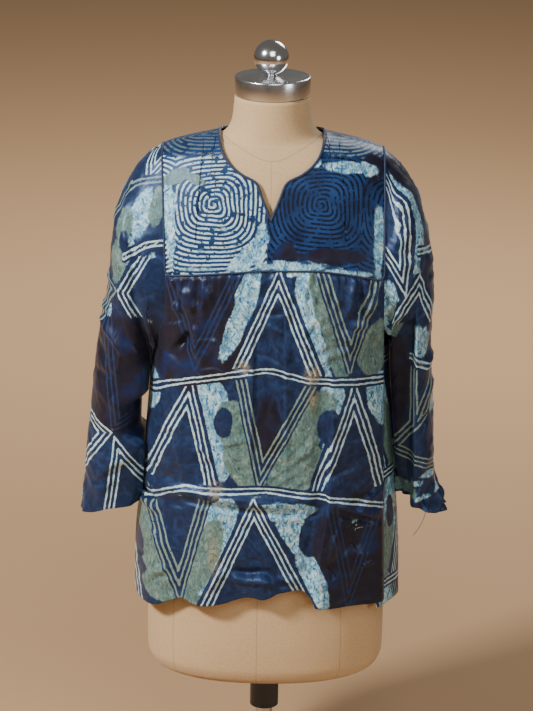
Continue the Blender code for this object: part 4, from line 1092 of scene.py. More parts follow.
def back_panel_rows(levels, columns, lap_columns):
    """Points of the back panel on the rings, round to the lap inside the slit."""
    share = np.linspace(0.0, 1.0, columns)
    top = 0.8090
    ends = (-side_turn(-1, top), side_turn(1, top))
    rows, turns, edges = [], [], []
    for level in levels:
        low = 1.0 - ease((level - 0.3350) / 0.14)
        height = level + (BACK_YOKE_BOTTOM - top) * ease((level - 0.70) / 0.109) - 0.025 * low
        end = side_turn(1, level)
        turn = spread(share, -side_turn(-1, level), end, *ends)
        lap = end + (np.pi / 2 + 0.62 - end) * np.arange(1, lap_columns + 1) / lap_columns
        turn = np.concatenate([turn, lap])
        rows.append(on_ring(turn, np.full(len(turn), height), True))
        turns.append(turn)
        edges.append(np.full(len(turn), end))
    return np.array(rows), np.array(turns), np.array(edges)


levels = np.concatenate([[0.8090], np.linspace(0.8090, 0.3350, 204)])
grid, turn, edge = back_panel_rows(levels, 208, 26)
x, z = grid[..., 0], grid[..., 2]
tucked = 0.0095 * ease((turn - 1.60) / 0.40)
below = BACK_YOKE_BOTTOM - z
rng = np.random.default_rng(17)
relief = gathers(x, below, [(-0.140, 0.140, 44)], rng, 0.0030)
relief += FOLD_GAIN * creases(x, z, BACK_CREASES) + 0.0014 * crumple(x, z, 33, 0.062)
relief += 0.0040 * (1.0 - ease((z - 0.31) / 0.40)) * np.sin(turn * 11.0 + 1.2 * np.sin(2.3 * turn)) * hill(turn, 1.1)
relief += strays(x, z, (-0.16, 0.16, 0.34, 0.78), 110, 9, 2.6)
beside = ease((z - 0.50) / 0.06) * (1.0 - ease((z - 0.70) / 0.03))
calm = ease((turn - turn[:, :1]) / (0.12 + 0.40 * beside)) * ease((edge - turn) / (0.25 + 0.27 * beside))
lift = LIFT + relief * calm - tucked + 0.0008 * crumple(turn * 0.15, z, 4, 0.05) * ease((turn - 1.5) / 0.1)
grid = np.where((grid[..., 1] < 0)[..., None], lifted(grid, False, lift), lifted(grid, True, lift))
grid[0] = grid[1] + np.array([0.0, -0.0022, 0.0065])
grid = off_the_form(grid)
around = turn * 0.150
fields = repeat_print(around, z, 0.30, 0.836, 4)
fields["stain"] = np.full(np.shape(x), -1.0)
lap_start = 207
back_panel = cloth_piece("back_panel_cloth", grid.transpose(1, 0, 2), "back_panel", back_paint, flip=True,
                         skip=lambda i, j: (i >= lap_start) & (levels[np.minimum(j + 1, 204)] > 0.690),
                         fields={key: value.T for key, value in fields.items()})
back_edge_grid = grid
print("back panel area", round(sheet_area(back_panel), 4))


# %% [markdown]
# ## The sleeves
#
# Wide straight sleeves hang empty from dropped shoulders. The left one has a deep
# fold at the front of the armhole. The right one has a long fold down its front, and
# its cuff is crumpled up, so its mouth is scrunched.

# %% Sleeve shape
def armhole_half(side, back, low_count=6, high_count=8):
    """Half of an armhole, from the underarm past the yoke's corner to the shoulder's top line."""
    heights = np.linspace(UNDERARM, YOKE_CORNER, 60)
    turn = side * side_turn(side, heights)
    if side > 0 and not back:
        edge = turn_of_x(smooth(SLIT_EDGE, 1, heights), heights)
        turn = edge + (np.pi / 2 - edge) * (1.0 - ease((heights - UNDERARM) / 0.040)) ** 1.3
    lower = on_ring(turn, heights, back)
    x_top, x_low = yoke_edge(side)
    low = BACK_YOKE_BOTTOM if back else float(smooth(YOKE_BOTTOM, 1, x_low))
    upper = column_path(x_top, x_low, ridge_height(x_top), low, back, 60)[::-1]
    path = np.concatenate([evenly(lower, low_count + 1)[:-1], evenly(upper, high_count + 1)])
    path = lifted(path, back, np.full(len(path), LIFT - 0.0004))
    path[-1, 1] = 0.0
    path[0, 1] = 0.0
    path[:, 0] -= side * 0.0006
    return path


def sleeve_rings(side):
    """Rings of a sleeve from the armhole to the cuff, each from the underarm forward."""
    table = SLEEVE_LEFT if side < 0 else SLEEVE_RIGHT
    front, back = armhole_half(side, False), armhole_half(side, True)
    half = len(front) - 1
    first = np.concatenate([front, back[::-1][1:-1]])
    turn = np.arange(2 * half) / (2 * half) * 2 * np.pi
    rings = [first]
    for k, (ox, oz, ix, iz, front_depth, back_depth) in enumerate(table):
        swing = -np.cos(turn)
        x = (ox + ix) / 2 + (ox - ix) / 2 * swing
        if k < 6:
            x = side * np.maximum(side * x, side * first[:, 0] + 0.0007 * (k + 1))
        z = (oz + iz) / 2 + (oz - iz) / 2 * swing
        bow = np.sign(np.sin(turn)) * np.abs(np.sin(turn)) ** 0.82
        ring = np.stack([x, np.where(bow > 0, -front_depth * bow, -back_depth * bow), z], axis=-1)
        blend = ease((k + 1) / 6.0)
        old_span = np.linalg.norm(first[half] - first[0])
        kept = (first - first.mean(axis=0)) * np.array([1.0, 1.0, np.hypot(ox - ix, oz - iz) / old_span])
        kept[:, 0] = x
        kept[:, 2] += (oz + iz) / 2 - (kept[0, 2] + kept[half, 2]) / 2
        rings.append(kept * (1.0 - blend) + ring * blend)
    return np.array(rings)


def deep_folds(side, x, y, z):
    """How far the front of a sleeve is pushed in at its deep folds."""
    front = ease((-y - 0.012) / 0.03)
    if side < 0:
        line = smooth(np.array([(0.58, -0.1895), (0.70, -0.188), (0.80, -0.1895), (0.93, -0.192)]), 1, z)
        length = ease((z - 0.56) / 0.06) * (1.0 - ease((z - 0.88) / 0.06))
        return 0.013 * hill(x - line, 0.0048) * length * front
    line = smooth(np.array([(0.46, 0.209), (0.60, 0.2075), (0.76, 0.205)]), 1, z)
    length = ease((z - 0.455) / 0.03) * (1.0 - ease((z - 0.70) / 0.08))
    return 0.020 * (1.0 - ease((x - line + 0.004) / 0.006)) * length * front


# Folds seen from the front, or from behind for the second table of each sleeve, in mm
LEFT_FRONT = [
    ([(-196, 920), (-200, 880), (-196, 830)], 2.6, 7, 0.3),
              ([(-212, 900), (-214, 850), (-208, 800)], 1.8, 7, 0.3),
    ([(-252, 748), (-238, 744), (-222, 752)], 2.6, 4, 0.5),
              ([(-250, 740), (-232, 722), (-212, 700), (-194, 676)], 2.6, 5, 0.7),
    ([(-252, 700), (-240, 690), (-230, 668)], -1.3, 4, 0.4),
              ([(-246, 640), (-226, 616), (-204, 600)], 1.4, 6, 0.5),
    ([(-255, 580), (-236, 560), (-222, 540)], -1.2, 4, 0.5),
              ([(-262, 490), (-232, 508), (-206, 540), (-192, 560)], 2.4, 6, 0.7),
    ([(-250, 470), (-236, 480), (-220, 500)], 1.4, 4, 0.5),
              ([(-204, 640), (-208, 590), (-202, 530)], 1.6, 9, 0.2),
    ([(-228, 860), (-220, 800), (-226, 740)], 1.4, 10, 0.2),
              ([(-240, 800), (-228, 790), (-214, 796)], 1.3, 4, 0.5),
    ([(-250, 660), (-238, 652), (-220, 656)], -1.2, 4, 0.5),
              ([(-262, 540), (-246, 532), (-232, 536)], 1.2, 4, 0.5),
]
RIGHT_FRONT = [
    ([(186, 940), (190, 890), (184, 840)], 2.6, 6, 0.4), ([(174, 930), (178, 886), (172, 840)], 2.2, 5, 0.4),
    ([(202, 900), (206, 850), (200, 800)], 1.8, 7, 0.3), ([(168, 870), (176, 838), (190, 812)], 2.0, 6, 0.4),
    ([(160, 716), (176, 742), (194, 768)], 3.0, 6, 0.5), ([(170, 706), (190, 722), (204, 748)], -2.2, 5, 0.4),
    ([(228, 790), (220, 750), (224, 700)], 2.0, 6, 0.4), ([(234, 690), (222, 672), (214, 660)], 2.2, 4, 0.6),
    ([(236, 650), (226, 630), (216, 624)], 1.8, 4, 0.6), ([(226, 600), (222, 560), (226, 520)], 1.6, 7, 0.3),
    ([(216, 840), (224, 820), (232, 816)], 1.6, 4, 0.5), ([(190, 620), (196, 560), (190, 500)], 2.2, 8, 0.3),
    ([(236, 545), (226, 530), (220, 512)], 1.5, 4, 0.5),
]
SLEEVE_BACK = [
    ([(190, 930), (196, 880), (190, 820)], 2.4, 7, 0.3), ([(210, 890), (214, 830), (206, 770)], 2.0, 7, 0.3),
    ([(230, 740), (206, 700), (186, 650)], 2.8, 7, 0.6), ([(240, 680), (216, 640), (196, 600)], -1.8, 6, 0.4),
    ([(214, 640), (222, 570), (216, 500)], 2.2, 9, 0.3), ([(244, 600), (226, 586), (206, 590)], 1.5, 5, 0.5),
]


def scrunch(side, x, y, z, low):
    """Crumples at a cuff: deep on the right one, slight on the left one."""
    strength = 1.0 if side > 0 else 0.18
    near = 1.0 - ease((z - low - 0.004) / 0.045)
    turns = np.arctan2(y, x - (0.222 if side > 0 else -0.228))
    folds = np.sin(turns * 7.0 + 60.0 * (z - low)) + 0.7 * np.sin(turns * 13.0 - 110.0 * (z - low) + 1.0)
    return 0.0060 * strength * near * folds


def front_across(rings, side, middle=42):
    """Distance across a sleeve as seen from the front, outward, that slows down round its sides."""
    step = np.diff(rings, axis=1)
    flat = np.maximum(np.abs(step[..., 0]), 0.55 * np.hypot(step[..., 0], step[..., 1]))
    run = np.concatenate([np.zeros_like(flat[:, :1]), np.cumsum(flat, axis=1)], axis=1)
    run = run - run[:, middle:middle + 1]
    return side * rings[:, middle:middle + 1, 0] + run


def sleeve_piece(side):
    """One sleeve with its folds; also gives back what its print needs."""
    rings = refine(refine(sleeve_rings(side), 11, 0), 6, 1, closed=True)
    x, y, z = rings[..., 0], rings[..., 1], rings[..., 2]
    part = np.linspace(0.0, 1.0, len(rings))[:, None]
    out = face_out(rings, closed=True, flip=side < 0)
    table = LEFT_FRONT if side < 0 else RIGHT_FRONT
    front = ease((-y - 0.004) / 0.02)
    behind = ease((y - 0.004) / 0.02)
    relief = 2.3 * (creases(x, z, table) * front + creases(side * x, z, SLEEVE_BACK) * behind)
    girth = run_along(rings, 1, 42)
    length = run_along(rings, 0, 0)
    mean = length.mean(axis=1, keepdims=True)
    head = gathers(girth, mean + 0.0 * girth, [(-0.10, 0.10, 26), (0.16, 0.28, 10)],
                   np.random.default_rng(31 + side), 0.0015)
    relief += head * (0.9 if side > 0 else 0.5)
    relief += 0.0014 * crumple(girth, z, 41 + side, 0.060) + strays(girth, z, (-0.13, 0.26, 0.48, 0.92), 80, 51 + side, 2.0)
    # folds only where there is room, not on the side that faces the body
    facing = ease((rings[..., 0].mean(axis=1, keepdims=True) * side - side * x - 0.004) / 0.012) * ease((z - 0.47) / 0.05)
    relief *= 1.0 - 0.85 * facing
    relief += scrunch(side, x, y, z, 0.452)
    relief *= ease(part / 0.05)
    made = rings + out * relief[..., None]
    made[..., 1] += deep_folds(side, x, y, z) * ease((part * 16 - 1) / 5.0)
    # the inner side hangs in against the body, just clear of it, and the left one
    # stands away only for a short way above the cuff
    at = made[..., 2]
    if side < 0:
        level = ease((at - 0.606) / 0.022) + 1.0 - ease((at - 0.545) / 0.022)
    else:
        level = ease((at - 0.49) / 0.03)
    level = level * ease(part / 0.04)
    inner = ease((rings[..., 0].mean(axis=1, keepdims=True) * side - side * made[..., 0]) / 0.016)
    power = smooth(CLOTH_RINGS, 5, at)
    deep = np.where(made[..., 1] > 0, cloth_depth(at, True), cloth_depth(at, False))
    inside = np.clip(1.0 - (np.abs(made[..., 1]) / deep) ** power, 0.0, 1.0) ** (1.0 / power)
    margin = LIFT + 0.0014 + 0.05 * np.maximum(np.abs(made[..., 1]) - 0.01, 0.0)
    room = side * made[..., 0] - cloth_breadth(made[..., 0], at) * inside - margin
    made[..., 0] -= side * np.clip(room, 0.0, 0.020) * level * inner
    return made, girth, front_across(made, side), z


# %% [markdown]
# The sleeves carry the same print, cut at other places of the cloth: chevrons that
# point sideways, a dark striped field on the left sleeve, and long triple lines
# that sweep down from the shoulder on the right one.

# %% Sleeve print
def sleeve_fields(side, girth, across, y, z):
    """Print fields of a sleeve, with painted shade on its inner side: placed on its front, a repeat on its hidden
    side.
    """
    u = across
    if side < 0:
        wedges = [((196, 930), (212, 972), (172, 955), 922, 1000, CREAM),
                  ((214, 780), (188, 827), (185, 729), 700, 838, CREAM),
                  ((216, 780), (244, 804), (242, 732), 720, 830, MOSS),
                  ((222, 572), (236, 724), (150, 604), 572, 742, BROWN),
                  ((222, 568), (253, 589), (266, 504), 480, 604, CREAM),
                  ((218, 562), (233, 448), (174, 504), 420, 566, CREAM)]
        rows = [([(150, 940), (198, 933), (219, 921), (227, 899), (244, 862)], MOSS),
                ([(140, 856), (172, 852), (195, 838), (204, 832)], CREAM)]
        washes = [(189, 889, 13, 36, 0.0), (195, 838, 8, 22, 0.1), (238, 752, 15, 24, 0.0),
                  (249, 552, 10, 17, 0.0),
                  (194, 518, 11, 16, 0.2), (164, 812, 8, 26, 0.0)]
        mosses = [(170, 905, 11, 32, 0.0), (209, 873, 13, 24, 0.0), (215, 822, 14, 34, 0.0),
                  (160, 785, 11, 44, 0.0),
                  (202, 484, 24, 11, 0.4), (176, 474, 16, 10, 0.0)]
        # the second dark patch is painted shade, where the sleeve's inner side lies in shadow next to the body
        brown_and_painted_shade_patches = [(208, 655, 66, 90, 0.0), (160, 700, 20, 60, 0.0)]
        covers = [(205, 852, 7, 14, 0.0), (178, 862, 6, 12, 0.0)]
    else:
        # the long lines bow back over the shoulder
        u = u + 0.020 * (np.maximum(z - 0.885, 0.0) / 0.060) ** 2
        wedges = [((189, 784), (201, 893), (158, 835), 780, 990, CREAM),
                  ((209, 811), (187, 777), (244, 744), 736, 816, CREAM),
                  ((202, 541), (250, 655), (202, 668), 541, 672, MOSS),
                  ((162, 544), (197, 582), (195, 531), 500, 600, MOSS)]
        rows = [([(208, 844), (243, 837), (270, 832)], CREAM), ([(200, 686), (249, 664), (270, 655)], CREAM)]
        washes = [(211, 880, 9, 70, 0.08), (160, 764, 20, 42, 0.0), (219, 712, 14, 30, 0.0),
                  (238, 505, 17, 5, -0.5),
                  (213, 494, 9, 5, 0.6), (248, 483, 6, 9, 0.3), (226, 473, 10, 4, 0.4),
                  (152, 836, 8, 16, 0.0), (240, 620, 8, 30, 0.0)]
        mosses = [(172, 742, 15, 32, 0.0), (220, 628, 15, 34, 0.0), (192, 482, 22, 10, 0.0),
                  (160, 520, 20, 20, 0.0)]
        # the second dark patch is painted shade on the sleeve's recessed inner side
        brown_and_painted_shade_patches = [(252, 945, 36, 40, 0.0), (172, 640, 28, 84, 0.0), (196, 870, 9, 40, 0.0)]
        covers = [(222, 742, 6, 12, 0.0), (214, 830, 5, 12, 0.0)]
    own = print_fields(u, z, wedges, rows, washes, mosses, brown_and_painted_shade_patches, covers)
    other = repeat_print(girth, z, 0.38, 0.965, 61 + side, shift=0.02)
    fields = mix_fields(own, other, (y > 0.0).astype(float))
    fields["stain"] = np.full(np.shape(u), -1.0)
    return fields


sleeves = {}
for side, name, paint in ((-1, "sleeve_left", sleeve_left_paint), (1, "sleeve_right", sleeve_right_paint)):
    grid, girth, across, z = sleeve_piece(side)
    sleeves[side] = grid
    # girth runs the other way on the left sleeve, so that outward is always positive
    fields = sleeve_fields(side, girth, across, grid[..., 1], z)
    made = cloth_piece(name + "_cloth", grid, name, paint, closed=True, flip=side > 0, fields=fields)
    print(name, "area", round(sheet_area(made), 4))
    sleeves[name] = made

# %% [markdown]
# ## Binding and piping
#
# The neck is bound with a narrow bias strip rolled over the raw edge, and a corded
# piping outlines the yoke. Both are a plain dark blue cotton. On the bias the weave
# runs across the cord, which shows as fine slanting ribs.

# %% Blue trim
def trim_cotton(name):
    """Plain navy cotton, cut on the bias, a little worn on top."""
    made, tree, shader = new_material(name, 0.62)
    shader.inputs["Sheen Weight"].default_value = 0.15
    where = node(tree, "ShaderNodeTexCoord").outputs["Object"]
    worn = noise(tree, where, 300.0, 4.0, 0.6)
    tree.links.new(ramp(tree, worn, (0.30, "#0c1733"), (0.55, "#132347"), (0.78, "#233d6c")),
                   shader.inputs["Base Color"])
    weave_bump(tree, shader, where, 0.0007, 0.25)
    return made


def cord(name, path, radius, closed, paint, stands_for):
    """A round fabric-covered cord along a path of points."""
    curve = bpy.data.curves.new(name, "CURVE")
    curve.dimensions = "3D"
    curve.bevel_depth = radius
    curve.bevel_resolution = 4
    curve.use_fill_caps = True
    line = curve.splines.new("POLY")
    line.points.add(len(path) - 1)
    for k, (point, place) in enumerate(zip(line.points, path)):
        point.co = (*map(float, place), 1.0)
        point.radius = 1.0 + 0.07 * np.sin(k * 0.9) * np.sin(k * 0.37 + 1.0)
    line.use_cyclic_u = closed
    made = new_object(name, curve)
    made.data.materials.append(paint)
    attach(made, "root")
    if stands_for:
        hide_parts(stands_for)
    return made


def neck_loop():
    """Closed path of the neck binding, just inside the neck edge."""
    half = [float(p[0]) for p in yoke_columns(3) if p[0] < NECK_HALF - 1e-6]
    stops = [(x, float(smooth(NECK_FRONT, 1, x)), False) for x in half]
    stops += [(NECK_HALF, ridge_height(NECK_HALF), False)]
    stops += [(x, float(smooth(NECK_BACK, 1, x)), True) for x in half][::-1]
    stops += [(-x, z, back) for x, z, back in stops[1:-1]][::-1]
    points, normals = [], []
    for x, z, back in stops:
        point = on_column(np.array([x]), np.array([z]), back)
        points.append(lifted(point, back, np.array([LIFT]))[0])
        normals.append(lifted(point, back, np.array([1.0]))[0] - point[0])
    points, normals = np.array(points), np.array(normals)
    ahead = np.roll(points, -1, axis=0) - points
    ahead /= np.linalg.norm(ahead, axis=1, keepdims=True)
    along = ahead + np.roll(ahead, 1, axis=0)
    along /= np.linalg.norm(along, axis=1, keepdims=True)
    inward = np.cross(normals, along)
    inward /= np.linalg.norm(inward, axis=1, keepdims=True)
    bend = np.clip(np.sum(along * ahead, axis=1), 0.4, 1.0)
    return points + inward * (0.0012 / bend)[:, None]


def yoke_rim(back, count=200):
    """Path of the corded piping, along a yoke's sides and its rounded lower edge."""
    inset = 0.0006
    rim = []
    for side in (-1, 1):
        x_top, x_low = (edge - side * inset for edge in yoke_edge(side))
        low = yoke_low(yoke_edge(side)[1] - side * 0.0001, back)
        rim.append(column_path(x_top, x_low, ridge_height(x_top), low, back, 70))
    x = np.linspace(rim[0][-1][0] + 0.0006, rim[1][-1][0] - 0.0006, 160)
    lower = on_column(x, np.array([yoke_low(float(a), back) for a in x]) + inset, back)
    path = np.concatenate([rim[0], lower, rim[1][::-1]])
    path = lifted(path, back, np.full(len(path), LIFT + PIPING_RADIUS - 0.0004))
    path[[0, -1], 1] = 0.0
    return evenly(path, count)


binding_paint = trim_cotton("binding_cloth")
front_piping_paint = trim_cotton("front_piping_cloth")
back_piping_paint = trim_cotton("back_piping_cloth")
neck_binding = cord("neck_binding_roll", neck_loop(), BINDING_RADIUS, True, binding_paint, "neck_binding")
piping_front = cord("yoke_piping_front_cord", yoke_rim(False), PIPING_RADIUS, False, front_piping_paint,
                    "yoke_piping_front")
piping_back = cord("yoke_piping_back_cord", yoke_rim(True), PIPING_RADIUS, False, back_piping_paint,
                   "yoke_piping_back")


# %% [markdown]
# ## The dress form and its stand
#
# The form is a padded shell under a tight linen cover, sewn from panels: seams run
# down its middle and down each side of the bust, and one goes round the neck. The
# neck ends in a bright metal cap with a turned knob.

# %% Form cover


def linen_cover():
    """Undyed linen, tight over padding, with sunk seams that are a little darker."""
    made, tree, shader = new_material("form_cover", 0.86)
    shader.inputs["Sheen Weight"].default_value = 0.1
    where = node(tree, "ShaderNodeTexCoord").outputs["Object"]
    fleck = noise(tree, where, 420.0, 5.0, 0.7)
    slow = noise(tree, where, 9.0, 2.0)
    colour = ramp(tree, fleck, (0.28, "#c09c70"), (0.50, "#cbaa7e"), (0.72, "#d4b68d"))
    colour = mixed(tree, maths(tree, "MULTIPLY", slow, 0.35), colour, linear("#b4936a"))
    line = None
    for key in ("seam", "neck_seam"):
        near = maths(tree, "ABSOLUTE", attribute(tree, key))
        mark = maths(tree, "SUBTRACT", 1.0, step_at(tree, near, 0.0006, 0.0004))
        line = mark if line is None else maths(tree, "MAXIMUM", line, mark)
    colour = mixed(tree, maths(tree, "MULTIPLY", line, 0.38), colour, linear("#7d6040"))
    tree.links.new(colour, shader.inputs["Base Color"])
    weave_bump(tree, shader, where, 0.0010, 0.14, also=maths(tree, "MULTIPLY", line, -3.0))
    return made


def form_cover_grid(rows=150, around=160):
    """Fine rings of the form's body."""
    turn = np.arange(around) / around * 2 * np.pi
    heights = smooth(np.stack([np.linspace(0, 1, len(FORM_RINGS)), FORM_RINGS[:, 0]], axis=1), 1,
                     np.linspace(0, 1, rows))
    z = heights[:, None] + 0 * turn[None, :]
    power = smooth(FORM_RINGS, 4, z)
    s, c = np.sin(turn)[None, :], np.cos(turn)[None, :]
    out = (np.abs(s) ** power + np.abs(c) ** power) ** (-1.0 / power)
    depth = np.where(s > 0, smooth(FORM_RINGS, 3, z), smooth(FORM_RINGS, 2, z))
    return np.stack([c * out * smooth(FORM_RINGS, 1, z), s * out * depth, z], axis=-1)


def lidded(name, grid, fields=None, flip=False):
    """A closed body from rings, with flat lids."""
    made = surface(name, grid, closed=True, flip=flip, fields=fields)
    count = grid.shape[1]
    mesh = made.data
    body = bmesh.new()
    body.from_mesh(mesh)
    body.verts.ensure_lookup_table()
    low = [body.verts[k] for k in range(count)]
    high = [body.verts[len(body.verts) - count + k] for k in range(count)]
    body.faces.new(low if flip else low[::-1])
    body.faces.new(high[::-1] if flip else high)
    bmesh.ops.recalc_face_normals(body, faces=body.faces)
    body.to_mesh(mesh)
    body.free()
    return made


grid = form_cover_grid()
x, y, z = grid[..., 0], grid[..., 1], grid[..., 2]
lean = -0.012 * ease((0.95 - z) / 0.6)
seam_x = 0.70 * smooth(FORM_RINGS, 1, z)
middle = x - lean
vertical = 0.02 * np.tanh(middle / 0.02) * np.tanh((middle - seam_x) / 0.02) * np.tanh((middle + seam_x) / 0.02)
neck_line = z - (0.998 - 0.030 * hill(x, 0.05) * (y < 0) - 0.006 * (y >= 0))
# the body's seams stop at the neck's seam
vertical = np.where(neck_line > -0.001, 0.02, vertical)
fields = {"seam": vertical, "neck_seam": neck_line}
form_cover = lidded("form_cover_body", grid, fields)
form_paint = linen_cover()
form_cover.data.materials.append(form_paint)
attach(form_cover, "root")
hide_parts("form_body")


# %% [markdown]
# The cap and knob are spun and chromed steel, the pole is the same, and the stand's
# foot is pressed steel with a baked dark enamel. Only the cap and knob show in the
# photograph, so the stand is kept plain.

# %% Metal parts
def plated(name, code, rough):
    """Chrome plate on polished steel, with faint wiping marks in its shine."""
    made, tree, shader = new_material(name, rough, 1.0)
    shader.inputs["Base Color"].default_value = linear(code)
    where = node(tree, "ShaderNodeTexCoord").outputs["Object"]
    haze = noise(tree, where, 60.0, 4.0)
    made_range = node(tree, "ShaderNodeMapRange",
                      {"Value": haze, "To Min": rough * 0.7, "To Max": rough * 1.6})
    tree.links.new(made_range.outputs[0], shader.inputs["Roughness"])
    return made


def enamel(name):
    """Dark stoving enamel, satin, with a slight orange-peel surface."""
    made, tree, shader = new_material(name, 0.42)
    shader.inputs["Base Color"].default_value = linear("#2c2c2f")
    shader.inputs["Coat Weight"].default_value = 0.2
    where = node(tree, "ShaderNodeTexCoord").outputs["Object"]
    peel = node(tree, "ShaderNodeBump",
                {"Strength": 0.08, "Distance": 0.0005, "Height": noise(tree, where, 260.0)})
    tree.links.new(peel.outputs["Normal"], shader.inputs["Normal"])
    return made


def turned(name, profile, stands_for, paint, count=96, shift=0.0):
    """A lathe-turned part from a profile of radius and height."""
    angle = np.arange(count) / count * 2 * np.pi
    rings = [np.stack([shift + r * np.cos(angle), r * np.sin(angle), np.full(count, h)], axis=-1) for r,
             h in profile]
    made = lidded(name, np.array(rings))
    made.data.materials.append(paint)
    for face in made.data.polygons:
        face.use_smooth = len(face.vertices) == 4
    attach(made, "root")
    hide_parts(stands_for)
    return made


def rounded(radius, low, high, edge, steps=5):
    """Profile of a disc or tube with softly rounded top and bottom edges."""
    swing = np.linspace(0.0, np.pi / 2, steps)
    foot = [(radius - edge + edge * np.sin(a), low + edge - edge * np.cos(a)) for a in swing]
    head = [(radius - edge + edge * np.cos(a), high - edge + edge * np.sin(a)) for a in swing]
    return foot + head


cap_paint = plated("cap_metal", "#e6e6e8", 0.20)
knob_paint = plated("knob_metal", "#e6e6e8", 0.14)
pole_paint = plated("pole_metal", "#c8c8cc", 0.22)
turned("neck_cap_plate", rounded(0.053, 1.0484, 1.0750, 0.0022), "neck_cap", cap_paint)
ball = [(0.0245 * np.cos(a), 1.1008 + 0.0245 * np.sin(a)) for a in np.linspace(-1.32, 1.50, 28)]
turned("cap_knob_ball", [(0.0075, 1.0754), (0.0066, 1.0762)] + ball, "cap_knob", knob_paint,
                  shift=-0.0025)
turned("stand_collar_tube", rounded(0.021, 0.1240, 0.1956, 0.0012), "stand_collar",
                      enamel("collar_metal"))
turned("stand_pole_tube", rounded(0.012, 0.0184, 0.1236, 0.0004), "stand_pole", pole_paint)
base = rounded(0.19, 0.0, 0.018, 0.005)
turned("stand_base_plate", base, "stand_base", enamel("base_metal"), count=128)

# %% [markdown]
# ## Sewing
#
# The hem is turned up about 10 mm and machine stitched, and the slit edge is turned
# the same way. Each stitch is a short piece of thread that stands just proud of the
# cloth. Real stitches are about 2.5 mm long, and these keep that length.

# %% Stitches
def stitch_row(name, path, out, colour_paint, long=0.0024, gap=0.0011, radius=0.00022):
    """A row of thread stitches along a path, each a small rounded dash."""
    run = np.concatenate([[0.0], np.cumsum(np.linalg.norm(np.diff(path, axis=0), axis=1))])
    curve = bpy.data.curves.new(name, "CURVE")
    curve.dimensions = "3D"
    curve.bevel_depth = radius
    curve.bevel_resolution = 1
    at = 0.002
    while at + long < run[-1]:
        line = curve.splines.new("POLY")
        line.points.add(2)
        for k, share in enumerate((0.0, 0.5, 1.0)):
            where = at + long * share
            place = [np.interp(where, run, path[:, a]) for a in range(3)]
            push = [np.interp(where, run, out[:, a]) for a in range(3)]
            rise = radius * (1.1 if k == 1 else 0.1)
            line.points[k].co = (*(p + rise * q for p, q in zip(place, push)), 1.0)
        at += long + gap
    made = new_object(name, curve)
    made.data.materials.append(colour_paint)
    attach(made, "root")
    return made


thread_paint, thread_tree, thread_shader = new_material("sewing_thread", 0.55)
thread_shader.inputs["Base Color"].default_value = linear("#24365c")


hem_row = front_edge_grid.shape[0] - 5
out = face_out(front_edge_grid.transpose(1, 0, 2)).transpose(1, 0, 2)
front_hem_stitches = stitch_row("front_hem_stitches", front_edge_grid[hem_row], out[hem_row], thread_paint)
slit_column = front_edge_grid.shape[1] - 4
slit_stitches = stitch_row("slit_edge_stitches", front_edge_grid[40:hem_row, slit_column],
                           out[40:hem_row, slit_column],
                           thread_paint)
out = face_out(back_edge_grid.transpose(1, 0, 2), flip=True).transpose(1, 0, 2)
hem_row = back_edge_grid.shape[0] - 5
back_hem_stitches = stitch_row("back_hem_stitches", back_edge_grid[hem_row], out[hem_row], thread_paint)

# %% A loose thread
# One pulled thread hangs from the right cuff.
loose = np.array([(0.2300, -0.040, 0.4640), (0.2290, -0.043, 0.4520), (0.2265, -0.044, 0.4380),
                  (0.2200, -0.045, 0.4240),
                  (0.2120, -0.046, 0.4120)])
loose = refine(loose[:, None, :], 5, 0)[:, 0]
curve = bpy.data.curves.new("loose_thread", "CURVE")
curve.dimensions = "3D"
curve.bevel_depth = 0.00035
curve.bevel_resolution = 1
line = curve.splines.new("POLY")
line.points.add(len(loose) - 1)
for point, place in zip(line.points, loose):
    point.co = (*map(float, place), 1.0)
loose_thread = new_object("loose_thread", curve)
curve.materials.append(thread_paint)
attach(loose_thread, "root")

# Flat sizes are of the cut of what shows, before it was gathered or hung. The shell's area
# is printed beside it.
YOKE_WIDE, FRONT_YOKE_LONG, BACK_YOKE_LONG, SHOULDER_DROP = 0.330, 0.195, 0.215, 0.023
FRONT_LOW_WIDE, FRONT_TOP_WIDE, FRONT_LOW_LONG, FRONT_TOP_LONG = 0.465, 0.375, 0.365, 0.135
BACK_LOW_WIDE, BACK_TOP_WIDE, BACK_LOW_LONG, BACK_TOP_LONG = 0.600, 0.380, 0.380, 0.140
SLEEVE_WIDE, CROWN_LONG, UNDERARM_LONG = 0.360, 0.566, 0.232


def neck_hole(table):
    """Area of the neck opening in a yoke, from its table of x and height."""
    x = np.linspace(0.0, NECK_HALF, 81)
    deep = ridge_height(NECK_HALF) - smooth(np.array(table), 1, x)
    return 2.0 * float(np.sum(0.5 * (deep[1:] + deep[:-1]) * np.diff(x)))


def cut_cloth(thing, area):
    """Print one cut piece's cut beside its shell."""
    print(thing.name, "cut", round(area, 4), "shell", round(sheet_area(thing), 4),
          "ratio", round(sheet_area(thing) / area, 3))


cut_cloth(yoke_front, YOKE_WIDE * FRONT_YOKE_LONG - neck_hole(NECK_FRONT))
# the shoulders slope down from the neck point to the sides
slope = SHOULDER_DROP * (YOKE_WIDE / 2 - NECK_HALF)
cut_cloth(yoke_back, YOKE_WIDE * BACK_YOKE_LONG - slope - neck_hole(NECK_BACK))
# the panels are narrower above the underarm
cut_cloth(front_panel,
          FRONT_LOW_WIDE * FRONT_LOW_LONG + FRONT_TOP_WIDE * FRONT_TOP_LONG)
cut_cloth(back_panel,
          BACK_LOW_WIDE * BACK_LOW_LONG + BACK_TOP_WIDE * BACK_TOP_LONG)
# a sleeve is a straight tube up to the underarm, then a rounded cap: both are one cut
sleeve_cut = SLEEVE_WIDE * (UNDERARM_LONG + (CROWN_LONG - UNDERARM_LONG) * 2.0 / 3.0)
for name in ("sleeve_left", "sleeve_right"):
    cut_cloth(sleeves[name], sleeve_cut)

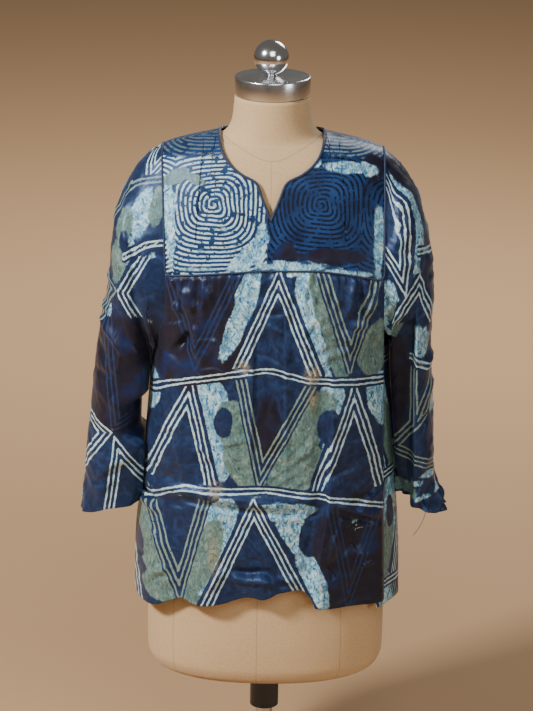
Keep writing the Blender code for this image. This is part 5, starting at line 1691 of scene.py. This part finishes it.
# %% [markdown]
# ## Floor, light and camera
#
# A plain tan floor and soft lamps, as in a small studio: the key from the left, a weak
# fill from the right, a wide one from the front and above, a rim behind, and one that
# lights only the floor far behind. The camera stands above the neck and looks down.

# %% Stage
floor_mesh = bpy.data.meshes.new("floor")
floor_mesh.from_pydata([(-9, -9, 0), (9, -9, 0), (9, 9, 0), (-9, 9, 0)], [], [(0, 1, 2, 3)])
floor = new_object("floor", floor_mesh)
floor_paint, floor_tree, floor_shader = new_material("studio_floor", 0.8)
floor_shader.inputs["Base Color"].default_value = linear("#b8926a")
floor_mesh.materials.append(floor_paint)

world = bpy.data.worlds.new("studio")
bpy.context.scene.world = world
world.use_nodes = True
world.node_tree.nodes["Background"].inputs["Color"].default_value = linear("#dcd6ce")
world.node_tree.nodes["Background"].inputs["Strength"].default_value = 0.18


def lamp(name, place, aim, size, power):
    """A soft square lamp that looks at a point."""
    data = bpy.data.lights.new(name, "AREA")
    data.size = size
    data.energy = power
    made = new_object(name, data)
    look = Matrix.Translation(place)
    direction = np.array(aim) - np.array(place)
    made.matrix_world = look @ Vector(direction).to_track_quat("-Z", "Y").to_matrix().to_4x4()
    return made


lamp("key", (-2.2, -1.5, 2.7), (0.0, 0.0, 0.62), 0.5, 165)
lamp("fill", (2.6, -2.2, 1.3), (0.0, 0.0, 0.70), 1.0, 22)
lamp("front", (0.5, -3.0, 3.1), (0.0, 0.0, 0.75), 1.8, 42)
lamp("rim", (1.2, 2.6, 2.4), (0.0, 0.0, 0.75), 1.2, 36)
# one more lamp only lights the floor far behind
lamp("backdrop", (0.0, 2.4, 2.6), (0.0, 6.0, 0.0), 2.4, 88)

camera_data = bpy.data.cameras.new("camera")
camera_data.sensor_width = 36.0
camera_data.sensor_fit = "VERTICAL"
camera_data.sensor_height = 36.0
camera_data.lens = 2934.0 / 711.0 * 36.0
camera = new_object("camera", camera_data)
camera.matrix_world = (Matrix.Translation((-0.0035, -4.0, 1.947)) @ Matrix.Rotation(radians(90 - 17.75), 4, "X")
                       @ Matrix.Rotation(radians(0.8), 4, "Z"))
bpy.context.scene.camera = camera
